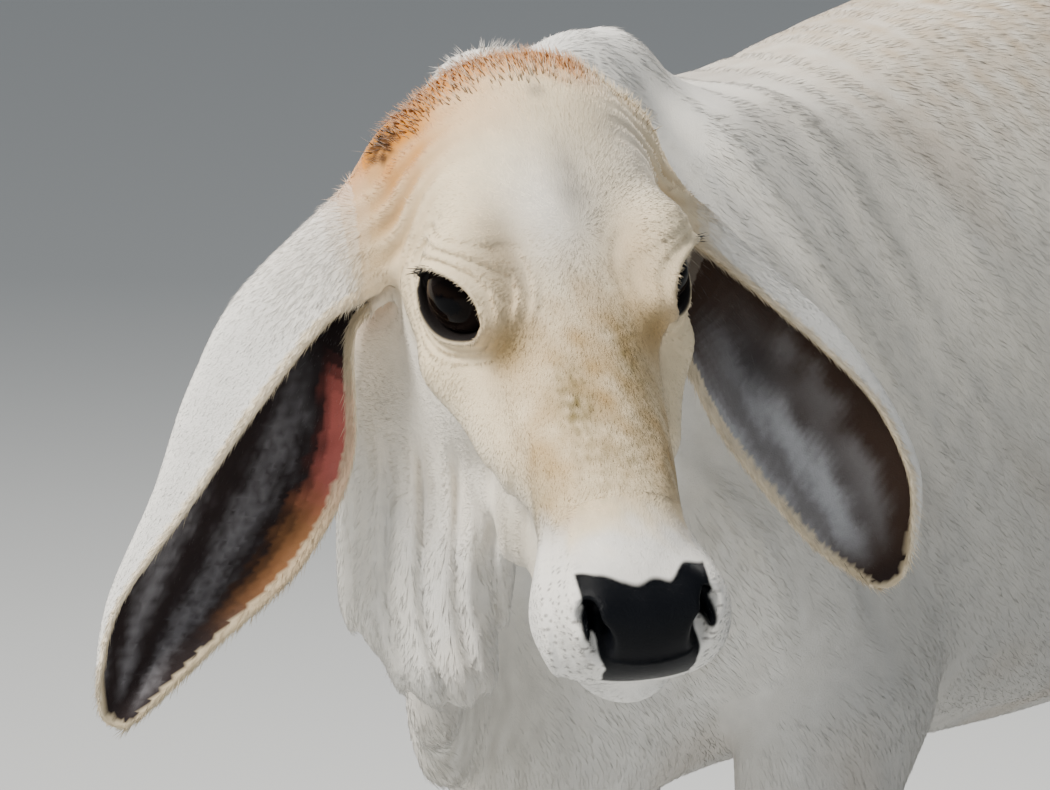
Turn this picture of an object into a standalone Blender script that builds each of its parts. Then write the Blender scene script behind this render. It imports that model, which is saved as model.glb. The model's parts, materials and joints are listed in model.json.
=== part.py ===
"""A Brahman calf about two months old, standing with its head turned to its left, still and life-size.

The model is in metres with +Z up. The body lies along Y with the chest towards -Y, and the calf's left
side is towards +X. The floor is Z = 0, and the origin is on it, under the middle of the whole model.

The flesh is worked out as one soft shape, like clay, from rounded pieces that flow into each other. Its
sizes and places are in centimetres. Each node is the part of that shape inside its own region, so that
neighbours meet face to face. Ears, eyes, claws, dewclaws and the tail's switch are pieces of their own.
"""

import itertools
import math
import random

import bmesh
import bpy
import numpy as np
from mathutils import Euler, Matrix, Vector

CM = 0.01
GAP = 0.0003
FAR = 99.0
MARGIN = 3.0
SIDES = {"left": 1, "right": -1}

# Driving dimensions of the calf, in centimetres
HUMP_TOP = 81.8
BACK = 83.6
BELLY = 47.0
BRISKET = (0, -27.0, 51.0)
# How far each side's front and hind foot stands from under its shoulder and hip
STEPS = {"left": (-3.0, 4.0), "right": (2.5, -3.5)}
# The model's origin in the clay's frame
ORIGIN = (10.2, -8.0)

# The head's place, and its turns in degrees
SKULL_AT = (13.5, -44.0, 79.0)
HEAD_YAW, HEAD_PITCH, HEAD_ROLL = 63.0, 41.0, -6.0
EYE_AT = (4.0, -9.9, 1.9)
EYE_RADIUS = 1.95
EYE_OUT = (0.74, -0.60, 0.30)
LID_HALF_LENGTH, LID_HALF_HEIGHT = 2.25, 1.5

# The ears and the throat are laid out in a frame whose -Y faces the one who looks at the calf's face.
FACE_TURN, FACE_AT = (-8, 0, 45), (16.0, -45.0, 68.0)
EAR_HALF_THICK = 0.17

# The regions that part the flesh into nodes, in centimetres
HEAD_BLOCK = ((-13, -34, -10.5), (13, 0.8, 12))
# The nose pad lies in front of NOSE_BACK. It is wider at its top than at its bottom.
NOSE_BACK, NOSE_TOP, NOSE_BOTTOM = -26.6, 1.2, -3.8
NOSE_HALF_TOP, NOSE_HALF_BOTTOM = 2.8, 2.1
NECK_BLOCK = ((-25, -40, -30), (25, 0, 30))
NECK_TURN, NECK_AT = (-16, 0, 15), (0.6, -25.0, 66.0)
TAIL_BLOCK = ((-2.6, 40.8, 30), (3.6, 50, 82))
TAIL_END = 46.0
FORE_TOP, FORE_KNEE = 44.4, 24.0
HIND_TILT, HIND_AT, HIND_KNEE, HIND_TOP = 27.0, (0, 12.0, 48.0), 29.0, 64
CORONET = 4.2

# Colours and roughness
HIDE, HIDE_ROUGH = (0.66, 0.58, 0.47), 0.85
LEG_HIDE = (0.62, 0.56, 0.47)
HORN, HORN_ROUGH = (0.06, 0.055, 0.05), 0.45
NOSE_BLACK = (0.012, 0.013, 0.016)
EYE_DARK = (0.008, 0.007, 0.006)
SWITCH_DARK = (0.05, 0.04, 0.035)
SWITCH_LOCKS = 22
# A claw's rings: height, half length, half width and shift along the foot
CLAW_RINGS = ((4.17, 2.0, 1.0, 0.4), (2.2, 2.35, 1.08, -0.3), (0.0, 2.7, 1.12, -0.9))
CLAW_SPREAD = 1.2


def unit(vector):
    return vector / np.linalg.norm(vector)


def turned(degrees):
    return np.array(Euler([math.radians(a) for a in degrees]).to_matrix())


def flowing(rows, count=80):
    """The rows of a table, drawn out into count rows along a smooth curve through them."""
    rows = np.array(rows, float)
    ends = np.vstack([2 * rows[0] - rows[1], rows, 2 * rows[-1] - rows[-2]])
    place = np.linspace(0, len(rows) - 1, count)
    start = np.minimum(place.astype(int), len(rows) - 2)
    t = (place - start)[:, None]
    a, b, c, d = (ends[start + i] for i in range(4))
    square, cube = 2 * a - 5 * b + 4 * c - d, 3 * b - a - 3 * c + d
    return 0.5 * (2 * b + (c - a) * t + square * t**2 + cube * t**3)


class Piece:
    """One rounded piece of clay: how far points are from its surface, and a ball that holds it."""

    def __init__(self, distance, centre, reach):
        self.distance = distance
        self.centre = np.array(centre, float)
        self.reach = reach

    def posed(self, turn, place):
        """The same piece, turned by a matrix and moved."""
        return Piece(lambda p: self.distance((p - place) @ turn), turn @ self.centre + place, self.reach)


def egg(centre, radii, turn=(0, 0, 0)):
    """An ellipsoid."""
    centre, radii, spin = np.array(centre, float), np.array(radii, float), turned(turn)

    def distance(points):
        scaled = (points - centre) @ spin / radii
        far = np.linalg.norm(scaled, axis=1)
        slope = np.linalg.norm(scaled / radii, axis=1) + 1e-9
        return far * (far - 1) / slope

    return Piece(distance, centre, radii.max())


def limb(start, end, start_size, end_size, side=(1, 0, 0)):
    """A tapered rod with rounded ends. Each size is (half width along side, half depth across it)."""
    start, end = np.array(start, float), np.array(end, float)
    length = np.linalg.norm(end - start)
    axis = (end - start) / length
    across = unit(np.array(side, float) - np.dot(side, axis) * axis)
    frame = np.column_stack([across, np.cross(axis, across), axis])
    low, high = (np.array([*size, sum(size) / 2], float) for size in (start_size, end_size))

    def distance(points):
        local = (points - start) @ frame
        along = np.clip(local[:, 2], 0, length)
        sizes = low + (along / length)[:, None] * (high - low)
        local[:, 2] -= along
        scaled = local / sizes
        far = np.linalg.norm(scaled, axis=1)
        slope = np.linalg.norm(scaled / sizes, axis=1) + 1e-9
        return far * (far - 1) / slope

    return Piece(distance, (start + end) / 2, length / 2 + max(*start_size, *end_size))


def chain(points, sizes, side=(1, 0, 0)):
    """Limbs end to end. With no side given, each limb's width lies level, across its own run."""
    limbs = []
    for (start, end), ends_sizes in zip(itertools.pairwise(points), itertools.pairwise(sizes)):
        level = (start[1] - end[1], end[0] - start[0], 0)
        limbs.append(limb(start, end, *ends_sizes, side or level))
    return limbs


def loft(rows, widest=0.5, square=2.3):
    """A body drawn through cross-sections along Y. A row is (y, top, bottom, half width)."""
    rows = np.array(rows, float)
    table = flowing(rows[np.argsort(rows[:, 0])])
    span = table[:, 0]

    def distance(points):
        y = np.clip(points[:, 1], span[0], span[-1])
        top, bottom, half = (np.interp(y, span, table[:, i]) for i in (1, 2, 3))
        middle = bottom + widest * (top - bottom)
        x, z, beyond = points[:, 0], points[:, 2] - middle, points[:, 1] - y
        height = np.where(z > 0, top - middle, middle - bottom)
        ring = (np.abs(x / half) ** square + np.abs(z / height) ** square) ** (1 / square)
        ratio = np.hypot(ring, beyond / np.minimum(half, height)) + 1e-9
        return np.sqrt(x * x + z * z + beyond * beyond) * (1 - 1 / ratio)

    low = np.array([-table[:, 3].max(), span[0], table[:, 2].min()])
    high = np.array([table[:, 3].max(), span[-1], table[:, 1].max()])
    return Piece(distance, (low + high) / 2, np.linalg.norm(high - low) / 2 + 2)


class Clay:
    """Pieces of clay pressed together, or carved away, one after the other."""

    def __init__(self):
        self.steps = []

    def add(self, pieces, soft):
        for piece in pieces if isinstance(pieces, list) else [pieces]:
            self.steps.append((piece, soft, False))

    def carve(self, pieces, soft):
        for piece in pieces if isinstance(pieces, list) else [pieces]:
            self.steps.append((piece, soft, True))

    def take(self, other, turn, place):
        """Adds all that another clay holds, turned and moved."""
        self.steps += [(piece.posed(turn, place), soft, carved) for piece, soft, carved in other.steps]

    def distance(self, points, group=20000):
        """How far each point is from the surface, below zero inside. It is exact near the surface only."""
        return np.concatenate([self.near(points[i : i + group]) for i in range(0, len(points), group)])

    def near(self, points):
        found = np.full(len(points), FAR)
        low, high = points.min(axis=0), points.max(axis=0)
        for piece, soft, carved in self.steps:
            reach = piece.reach + soft + MARGIN
            if np.linalg.norm(piece.centre - np.clip(piece.centre, low, high)) > reach:
                continue
            close = np.linalg.norm(points - piece.centre, axis=1) < reach
            if not close.any():
                continue
            old, new = found[close], piece.distance(points[close])
            if carved:
                blend = np.maximum(soft - np.abs(old + new), 0)
                found[close] = np.maximum(old, -new) + blend * blend / (4 * soft)
            else:
                blend = np.maximum(soft - np.abs(old - new), 0)
                found[close] = np.minimum(old, new) - blend * blend / (4 * soft)
        return found


def sampled(clay, low, high, step, block=4):
    """The clay's distance on a grid of that step, worked out in the blocks that the surface may cross."""
    counts = np.ceil((np.array(high) - low) / (step * block)).astype(int)
    values = np.full(counts * block + 1, FAR)
    blocks = np.stack(np.meshgrid(*(np.arange(n) for n in counts), indexing="ij"), -1).reshape(-1, 3)
    blocks = blocks[np.argsort(blocks[:, 1], kind="stable")]
    middle = clay.distance(low + (blocks + 0.5) * block * step)
    for first in blocks[middle < -block * step] * block:
        values[tuple(slice(i, i + block + 1) for i in first)] = -FAR
    crossed = blocks[np.abs(middle) < 1.6 * block * step]
    corner = np.stack(np.meshgrid(*[np.arange(block + 1)] * 3, indexing="ij"), -1).reshape(-1, 3)
    nodes = (crossed[:, None] * block + corner).reshape(-1, 3)
    values[tuple(nodes.T)] = clay.distance(low + nodes * step)
    for axis in range(3):
        edge = np.moveaxis(values, axis, 0)
        edge[0] = edge[-1] = FAR
    return values


def netted(values, low, step):
    """(points, four-sided faces) of the surface where a grid of distances passes zero."""
    inside = values < 0
    cells = tuple(n - 1 for n in values.shape)
    corners = list(itertools.product((0, 1), repeat=3))

    def at(grid, offset):
        return grid[tuple(slice(o, o + n) for o, n in zip(offset, cells))]

    count = sum(at(inside, c).astype(np.int8) for c in corners)
    mixed = (count > 0) & (count < 8)
    number = np.full(cells, -1)
    number[mixed] = np.arange(mixed.sum())
    total, crossings = np.zeros((mixed.sum(), 3)), np.zeros(mixed.sum())
    for axis in range(3):
        for c in corners:
            if c[axis]:
                continue
            end = tuple(v + (i == axis) for i, v in enumerate(c))
            a, b = at(values, c)[mixed], at(values, end)[mixed]
            hit = (a < 0) != (b < 0)
            point = np.tile(np.array(c, float), (len(a), 1))
            point[:, axis] += np.where(hit, a / np.where(hit, a - b, 1), 0)
            total += point * hit[:, None]
            crossings += hit
    points = low + (np.argwhere(mixed) + total / crossings[:, None]) * step
    faces = []
    for axis in range(3):
        one, two = [i for i in range(3) if i != axis]
        first, last = [slice(1, -1)] * 3, [slice(1, -1)] * 3
        first[axis], last[axis] = slice(0, -1), slice(1, None)
        a, b = inside[tuple(first)], inside[tuple(last)]
        for out, flip in ((a & ~b, axis == 1), (~a & b, axis != 1)):
            node = np.argwhere(out)
            node[:, [one, two]] += 1
            ring = []
            for d1, d2 in ((-1, -1), (0, -1), (0, 0), (-1, 0)):
                cell = node.copy()
                cell[:, one] += d1
                cell[:, two] += d2
                ring.append(number[tuple(cell.T)])
            quad = np.stack(ring, axis=1)
            faces.append(quad[:, ::-1] if flip else quad)
    return points, np.concatenate(faces)


def head_clay():
    """The head in its own frame: muzzle towards -Y, forehead up, the skull's back near the origin."""
    clay = Clay()
    skull = [
        (1.8, 3.2, -5.5, 3.4),
        (0.4, 5.6, -6.6, 4.9),
        (-3.0, 6.8, -7.0, 5.7),
        (-7.0, 6.2, -7.0, 5.6),
        (-10.2, 5.0, -6.8, 5.0),
        (-13.6, 3.6, -6.0, 4.1),
        (-17.4, 2.6, -5.2, 3.5),
        (-21.2, 1.9, -4.5, 3.1),
        (-24.8, 1.3, -4.0, 3.1),
        (-26.8, 0.7, -3.9, 3.2),
    ]
    clay.add(loft(skull, widest=0.52), 1.0)
    clay.add(egg((0, -2.0, -7.0), (3.4, 3.6, 3.0)), 3.0)
    for side in (1, -1):
        clay.add(jaw(side), 2.0)
        clay.add(egg((3.8 * side, -7.4, -4.6), (1.7, 5.2, 4.2)), 2.0)
        clay.add(brow(side), 2.2)
        clay.add(cheekbone(side), 1.8)
        clay.add(egg((2.4 * side, -25.1, -3.0), (2.1, 2.9, 2.2)), 1.6)
        clay.add(egg((2.3 * side, -26.7, -0.6), (1.4, 1.7, 1.4)), 1.0)
        clay.add(egg((5.0 * side, -1.6, -0.6), (1.9, 2.6, 3.4)), 2.0)
    clay.add(egg((0, -25.6, -2.2), (3.7, 2.9, 2.9)), 1.5)
    clay.add(egg((0, -24.8, -5.8), (2.5, 2.9, 1.5)), 1.2)
    clay.carve(mouth_line(), 0.5)
    for side in (1, -1):
        eye = np.array(EYE_AT) * (side, 1, 1)
        clay.add(egg(eye, [EYE_RADIUS + 0.3] * 3), 1.2)
        clay.carve(almond(side), 0.25)
        nostril = [(2.3 * side, -28.9, -0.9), (2.1 * side, -26.9, -0.3)]
        clay.carve(chain(nostril, [(0.5, 0.75), (0.35, 0.5)]), 0.4)
        clay.carve(egg((2.9 * side, -27.8, 0.2), (0.5, 1.2, 0.42), (0, 0, 25 * side)), 0.4)
    return clay


def jaw(side):
    route = [(3.3, -3.4, -7.8), (2.8, -8.6, -8.4), (1.9, -16.4, -6.8), (1.0, -23.8, -5.3)]
    return chain(sided(route, side), [(1.5, 2.2), (1.3, 1.9), (1.1, 1.5), (1.3, 1.2)])


def brow(side):
    """The rim of bone over the eye."""
    return chain(sided([(3.4, -6.8, 4.0), (4.5, -9.6, 4.1), (3.9, -12.6, 3.0)], side), [(0.8, 0.8)] * 3)


def cheekbone(side):
    return chain(sided([(5.0, -7.4, -0.6), (4.9, -11.4, -1.3), (3.5, -16.2, -2.0)], side), [(0.8, 0.8)] * 3)


def sided(points, side):
    """The points as they lie on the left side, or mirrored to the right."""
    return [(x * side, y, z) for x, y, z in points]


def mouth_line():
    """The closed mouth, a groove round the front of the muzzle and back along the cheeks."""
    half = [(0, -28.2, -4.8), (1.7, -27.3, -4.9), (2.9, -25.4, -4.9), (3.2, -22.6, -4.6), (3.3, -19.8, -4)]
    route = sided(half[:0:-1], -1) + half
    return chain(route, [(0.55, 0.16)] * len(route), side=(0, 0, 1.0))


def eye_frame(side):
    """Columns: along the lids away from the nose, up across them, and out of the eye."""
    out = unit(np.array(EYE_OUT) * (side, 1, 1))
    along = unit(np.cross(out, (0, 0, 1.0)) * -side + np.array([0, 0, -0.28]))
    along = unit(along - along.dot(out) * out)
    return np.column_stack([along, np.cross(out, along) * side, out])


def almond(side, half_length=LID_HALF_LENGTH, half_height=LID_HALF_HEIGHT):
    """The opening between the lids: where two round discs overlap, drawn outwards from the eye."""
    centre = np.array(EYE_AT) * (side, 1, 1)
    frame = eye_frame(side)
    radius = (half_length**2 + half_height**2) / (2 * half_height)
    offset = radius - half_height

    def distance(points):
        local = (points - centre) @ frame
        lens = np.maximum(
            np.hypot(local[:, 0], local[:, 1] - offset) - radius,
            np.hypot(local[:, 0], local[:, 1] + offset) - radius,
        )
        return np.maximum(lens, 0.4 - local[:, 2])

    return Piece(distance, centre + frame[:, 2] * 1.5, 2.8)


def head_turn():
    """The matrix that turns the head from its own frame to its place on the calf."""
    return turned((0, 0, HEAD_YAW)) @ turned((HEAD_PITCH, 0, 0)) @ turned((0, HEAD_ROLL, 0))


def leg_routes(side, fore_step, hind_step):
    """The joints and sizes of a front and a hind leg, from the top down. A step moves the foot along Y."""
    fore = [
        (8.1, -17.2, 49.5, 3.6, 5.4),
        (7.8, -17.6, 39.0, 2.6, 3.6),
        (7.5, -18.4, 28.0, 2.5, 2.7),
        (7.3, -17.8, 19.5, 1.55, 1.75),
        (7.2, -17.9, 10.8, 2.0, 2.2),
        (7.2, -20.2, 4.6, 1.9, 2.1),
    ]
    hind = [
        (8.8, 21.0, 53.0, 4.2, 7.6),
        (8.3, 28.0, 43.0, 2.9, 4.4),
        (7.8, 34.6, 34.0, 2.1, 3.2),
        (7.6, 33.6, 22.0, 1.6, 2.0),
        (7.5, 33.2, 11.0, 2.05, 2.3),
        (7.5, 30.6, 4.8, 1.95, 2.1),
    ]
    legs = []
    for rows, step in ((fore, fore_step), (hind, hind_step)):
        top = rows[0][2]
        points = [(x * side, y + step * (1 - z / top), z) for x, y, z, _, _ in rows]
        legs.append((points, [row[3:] for row in rows]))
    return legs


def calf_clay():
    """All the flesh of the calf but its ears, eyes, claws and the switch of its tail."""
    clay = Clay()
    trunk = [
        (-30.0, 69.0, 54.0, 3.8),
        (-27.0, 73.0, 49.0, 6.4),
        (-21.0, 77.0, 46.6, 9.0),
        (-14.0, 79.0, 46.4, 10.8),
        (-5.0, BACK - 2.4, 46.8, 12.2),
        (4.0, BACK - 0.8, BELLY, 13.0),
        (13.0, BACK, 48.6, 12.6),
        (20.0, BACK + 0.6, 52.4, 11.2),
        (27.0, BACK + 0.2, 56.0, 9.6),
        (34.0, BACK - 2.2, 59.0, 8.0),
        (40.0, BACK - 7.2, 63.0, 5.2),
    ]
    clay.add(loft(trunk, widest=0.44), 2.0)
    clay.add(egg((0.4, -25.6, HUMP_TOP - 5.6), (3.5, 6.0, 5.6), (8, 0, 0)), 3.6)
    clay.add(egg(BRISKET, (3.8, 7.4, 7.4)), 4.0)
    for name, side in SIDES.items():
        add_quarters(clay, side, *leg_routes(side, *STEPS[name]))
    clay.add(neck(), 4.0)
    clay.take(head_clay(), head_turn(), np.array(SKULL_AT))
    clay.add(throat(), 3.0)
    clay.add(dewlap(), 2.4)
    clay.add(limb((0, -4.0, BELLY + 1.0), (0, 12.0, 48.8), (1.4, 1.8), (1.2, 1.2)), 3.5)
    clay.add(chain(tail_route(), [(2.0, 1.6), (1.7, 1.5), (1.3, 1.3), (1.05, 1.05), (0.9, 0.9)]), 0.6)
    return clay


def add_quarters(clay, side, fore, hind):
    """One side's shoulder, haunch and legs, each leg given as its joints and sizes."""
    (fore, fore_sizes), (hind, hind_sizes) = fore, hind
    clay.add(limb((5.0 * side, -17.5, 73.0), (7.6 * side, -23.6, 58.5), (2.8, 6.0), (3.4, 5.0)), 4.0)
    clay.add(limb((7.8 * side, -23.6, 58.0), (8.4 * side, -16.5, 51.0), (3.2, 4.2), (3.4, 4.6)), 3.5)
    clay.add(chain(fore, fore_sizes), 0.9)
    clay.add(egg((7.6 * side, fore[2][1] - 0.4, 27.2), (2.5, 2.4, 3.2)), 1.2)
    clay.add(egg((8.0 * side, -13.4, 50.0), (1.9, 2.2, 3.0)), 2.5)
    clay.add(egg((7.6 * side, 27.5, 66.0), (5.2, 10.6, 14.5), (-12, 0, 0)), 4.0)
    clay.add(egg((7.4 * side, 32.0, 58.0), (4.4, 7.6, 12.0), (14, 0, 0)), 4.0)
    clay.add(egg((9.2 * side, 17.6, 53.0), (3.6, 5.4, 7.5), (20, 0, 0)), 4.0)
    clay.add(chain(hind, hind_sizes), 1.2)
    heel = np.array(hind[2]) + (0, 3.0, 1.6)
    clay.add(limb(heel, heel + (0.4 * side, -6.5, 15.0), (1.1, 1.3), (1.4, 2.4)), 2.0)
    clay.add(egg((8.8 * side, 20.0, 77.2), (2.2, 3.6, 2.6)), 4.5)
    clay.add(egg((4.2 * side, 38.4, 73.0), (1.8, 2.6, 2.6)), 4.5)


def neck():
    route = [(0.0, -22.0, 66.5), (2.4, -30.0, 68.6), (6.4, -36.6, 70.6), (11.4, -42.0, 73.4)]
    return chain(route, [(6.8, 10.0), (5.2, 8.4), (4.8, 6.8), (4.6, 5.6)], side=None)


def faced(across, away, up):
    """A place given as seen by the one who looks at the calf's face, in the clay's frame."""
    return turned(FACE_TURN) @ (across, away, up) + FACE_AT


def throat():
    """Loose skin under the jaw: the web to the neck, the throat itself, and three hanging folds."""
    level = turned(FACE_TURN)[:, 0]
    web = [(1.6, -32.0, 62.0), (5.6, -37.2, 62.2), (9.4, -41.4, 63.2), (12.6, -44.0, 65.4)]
    return [
        *chain(web, [(1.6, 3.6)] * len(web), side=None),
        limb(faced(-6.4, 5.0, 2.0), faced(-6.0, 5.4, -8.4), (2.6, 4.0), (2.5, 4.0), level),
        limb(faced(-5.2, 2.6, -1.5), faced(-4.8, 2.4, -11.9), (1.3, 2.0), (1.1, 1.8), level),
        limb(faced(-3.6, 3.0, -7.0), faced(-3.2, 2.8, -12.0), (0.8, 1.6), (0.8, 1.5), level),
        limb(faced(-2.0, 1.5, -8.0), faced(-2.4, 1.5, -12.2), (0.7, 1.4), (0.7, 1.3), level),
    ]


def dewlap():
    """The thin fold of loose skin that hangs from the throat, along the neck, to the chest."""
    table = [
        (17.0, -47.0, 67.0, 0.8, 2.2),
        (12.6, -45.6, 63.0, 0.9, 3.6),
        (8.4, -43.0, 58.8, 1.0, 4.4),
        (5.0, -39.6, 55.2, 1.0, 4.6),
        (2.4, -36.0, 52.4, 1.1, 4.4),
        (0.8, -31.6, 50.6, 1.3, 4.0),
        (0.0, -25.0, 49.6, 1.5, 3.0),
    ]
    return chain([row[:3] for row in table], [row[3:] for row in table], side=None)


def tail_route():
    return [(0, 35.0, 80.6), (0.1, 40.6, 77.2), (0.4, 43.4, 69.0), (0.8, 44.0, 55.0), (1.0, 43.6, 42.0)]


# A row runs round the ear from its front edge over the outside fold and the back wall to the lower edge.
EARS = {
    "right": [
        [(-6.7, -2.6, 4.7), (-5.6, -2.2, 10.9), (-5.8, -0.2, 7.8), (-6.5, -1.6, 4.2)],
        [(-8.9, -4.2, 3.2), (-12.2, -3.0, 5.0), (-10.0, -0.4, 4.2), (-7.7, -2.0, 2.6)],
        [(-12.0, -4.2, -0.7), (-14.8, -2.8, 0.5), (-11.7, 0.2, -0.9), (-7.8, -1.4, -3.0)],
        [(-15.0, -3.8, -5.0), (-16.4, -2.8, -4.3), (-13.8, -0.3, -5.6), (-10.0, -1.6, -7.5)],
        [(-18.0, -3.2, -9.2), (-18.3, -2.5, -8.9), (-16.3, -1.0, -10.0), (-13.9, -1.8, -11.2)],
        [(-18.9, -2.8, -12.4), (-18.9, -2.4, -12.2), (-17.7, -1.7, -12.9), (-16.4, -2.1, -13.6)],
        [(-18.9, -2.5, -13.8), (-18.8, -2.3, -14.3), (-18.4, -2.2, -14.65), (-17.8, -2.2, -14.8)],
    ],
    "left": [
        [(6.4, -0.2, 8.0), (5.6, 1.0, 10.0), (5.8, 2.6, 7.1), (5.8, 0.8, 4.2)],
        [(10.7, 0.2, 4.4), (11.6, 1.6, 5.0), (9.4, 3.2, 3.3), (7.1, 1.4, 1.7)],
        [(13.4, 1.0, 2.1), (14.1, 2.2, 2.6), (11.2, 3.8, 0.4), (8.6, 2.0, -1.3)],
        [(15.8, 1.9, -0.4), (16.1, 2.8, -0.3), (13.4, 4.2, -2.2), (10.7, 2.6, -4.1)],
        [(17.3, 2.6, -3.6), (17.5, 3.2, -3.4), (15.2, 4.2, -5.0), (13.0, 3.2, -6.7)],
        [(17.4, 3.1, -6.3), (17.5, 3.5, -6.3), (16.2, 3.9, -7.1), (14.8, 3.5, -8.0)],
        [(17.2, 3.3, -7.5), (17.0, 3.5, -8.0), (16.5, 3.6, -8.5), (15.8, 3.5, -8.6)],
    ],
}


def ear_sheet(name, rows, columns):
    """The middle surface of an ear as a grid of points, with the way out of its hollow at each."""
    table = np.array(EARS[name], float)
    along = flowing(table.reshape(len(table), -1), rows).reshape(rows, 4, 3)
    grid = np.stack([flowing(row, columns) for row in along])
    grid = grid @ turned(FACE_TURN).T + FACE_AT
    out = np.cross(np.gradient(grid, axis=0), np.gradient(grid, axis=1))
    out /= np.linalg.norm(out, axis=2, keepdims=True) + 1e-9
    return grid, out


def shown(name, mesh):
    thing = bpy.data.objects.new(name, mesh)
    bpy.context.scene.collection.objects.link(thing)
    return thing


def solid(name, points, faces):
    """An object from points in centimetres and lists of corners, with its faces turned outwards."""
    mesh = bpy.data.meshes.new(name)
    mesh.from_pydata((np.array(points) * CM).tolist(), [], [[int(i) for i in face] for face in faces])
    work = bmesh.new()
    work.from_mesh(mesh)
    bmesh.ops.recalc_face_normals(work, faces=work.faces)
    work.to_mesh(mesh)
    work.free()
    return shown(name, mesh)


def removed(things):
    for thing in things:
        bpy.data.objects.remove(thing)


def baked(thing, modifiers):
    """Puts modifiers on an object and keeps what they make of its mesh."""
    for kind, settings in modifiers:
        modifier = thing.modifiers.new(kind.lower(), kind)
        for key, value in settings.items():
            setattr(modifier, key, value)
    bpy.context.view_layer.update()
    mesh = bpy.data.meshes.new_from_object(thing.evaluated_get(bpy.context.evaluated_depsgraph_get()))
    thing.modifiers.clear()
    thing.data = mesh
    return thing


def cut(thing, cutters, operation="DIFFERENCE"):
    """Cuts an object with others, one after the other, and keeps its largest closed piece."""
    for cutter in cutters:
        cutter.hide_render = True
        cutter.display_type = "WIRE"
        baked(thing, [("BOOLEAN", {"operation": operation, "object": cutter, "solver": "EXACT"})])
    return largest(thing)


def mend(work):
    """Draws together edges where the skin touches itself, and closes the small holes this leaves."""
    for _ in range(12):
        pinched = [e for e in work.edges if len(e.link_faces) > 2]
        open_edges = [e for e in work.edges if len(e.link_faces) == 1]
        if not pinched and not open_edges:
            return
        bmesh.ops.collapse(work, edges=pinched + open_edges)
        bmesh.ops.dissolve_degenerate(work, edges=work.edges, dist=1e-7)
        twins = {}
        for face in work.faces:
            twins.setdefault(frozenset(face.verts), []).append(face)
        doubled = [face for faces in twins.values() if len(faces) > 1 for face in faces]
        bmesh.ops.delete(work, geom=doubled, context="FACES")
        bmesh.ops.delete(work, geom=[e for e in work.edges if not e.link_faces], context="EDGES")


def largest(thing):
    """Leaves only the biggest of an object's loose pieces."""
    work = bmesh.new()
    work.from_mesh(thing.data)
    bmesh.ops.remove_doubles(work, verts=work.verts, dist=1e-6)
    bmesh.ops.triangulate(work, faces=work.faces)
    mend(work)
    left, pieces = set(work.verts), []
    while left:
        reached, edge = set(), [left.pop()]
        while edge:
            vertex = edge.pop()
            reached.add(vertex)
            near = {e.other_vert(vertex) for e in vertex.link_edges} & left
            left -= near
            edge.extend(near)
        pieces.append(reached)
    biggest = max(pieces, key=len)
    bmesh.ops.delete(work, geom=[v for v in work.verts if v not in biggest], context="VERTS")
    work.to_mesh(thing.data)
    work.free()
    return thing


def grown(thing, amount):
    """A copy of an object with its skin moved outwards."""
    copy = shown(thing.name + "_grown", thing.data.copy())
    for vertex, normal in zip(copy.data.vertices, [v.normal.copy() for v in thing.data.vertices]):
        vertex.co += normal * amount
    return copy


def block(low, high, turn=None, place=(0, 0, 0), grow=0.0):
    """A box, turned and moved, that says where a node ends. Growing it keeps the gap to its neighbour."""
    spans = [(a - grow, b + grow) for a, b in zip(low, high)]
    corners = np.array(list(itertools.product(*spans))) @ (np.eye(3) if turn is None else turn).T + place
    faces = [(0, 1, 3, 2), (4, 6, 7, 5), (0, 4, 5, 1), (2, 3, 7, 6), (0, 2, 6, 4), (1, 5, 7, 3)]
    return solid("block", corners, faces)


def flesh(name, clay, low, high, step, triangles):
    """The skin of the clay inside a box, thinned to about that many triangles."""
    points, faces = netted(sampled(clay, np.array(low, float), high, step), np.array(low, float), step)
    thing = solid(name, points, faces)
    ratio = triangles / (2 * len(faces))
    return largest(baked(thing, [("DECIMATE", {"ratio": ratio, "use_symmetry": False})]))


def finished(thing, colour, roughness, smooth_under=35):
    """Gives a node its own material, and smooth shading except over sharp folds."""
    material = bpy.data.materials.new(thing.name)
    material.use_nodes = True
    shader = material.node_tree.nodes["Principled BSDF"]
    shader.inputs["Base Color"].default_value = (*colour, 1)
    shader.inputs["Roughness"].default_value = roughness
    shader.inputs["Metallic"].default_value = 0.0
    thing.data.materials.clear()
    thing.data.materials.append(material)
    thing.data.shade_smooth()
    thing.data.set_sharp_from_angle(angle=math.radians(smooth_under))
    thing.data.name = thing.name
    thing.location = (-ORIGIN[0] * CM, -ORIGIN[1] * CM, 0)
    return thing


def tube(name, rings):
    """A closed skin over rings of points, each ring of the same length, capped at both ends."""
    count = len(rings[0])
    faces = [tuple(range(count)), tuple(range((len(rings) - 1) * count, len(rings) * count))]
    for ring, corner in itertools.product(range(len(rings) - 1), range(count)):
        a, b = ring * count + corner, ring * count + (corner + 1) % count
        faces.append((a, b, b + count, a + count))
    return solid(name, np.concatenate(rings), faces)


def head_box(grow=0.0):
    return block(*HEAD_BLOCK, head_turn(), np.array(SKULL_AT), grow)


def nose_box(grow=0.0):
    """A wedge round the front of the muzzle."""
    thing = block((-1, -34, NOSE_BOTTOM), (1, NOSE_BACK, NOSE_TOP), grow=grow)
    for vertex in thing.data.vertices:
        half = NOSE_HALF_TOP if vertex.co.z > 0 else NOSE_HALF_BOTTOM
        vertex.co.x = math.copysign((half + grow) * CM, vertex.co.x)
    thing.data.transform(Matrix.Translation(Vector(SKULL_AT) * CM) @ Matrix(head_turn().tolist()).to_4x4())
    return thing


def neck_box(grow=0.0):
    return block(*NECK_BLOCK, turned(NECK_TURN), NECK_AT, grow)


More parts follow.
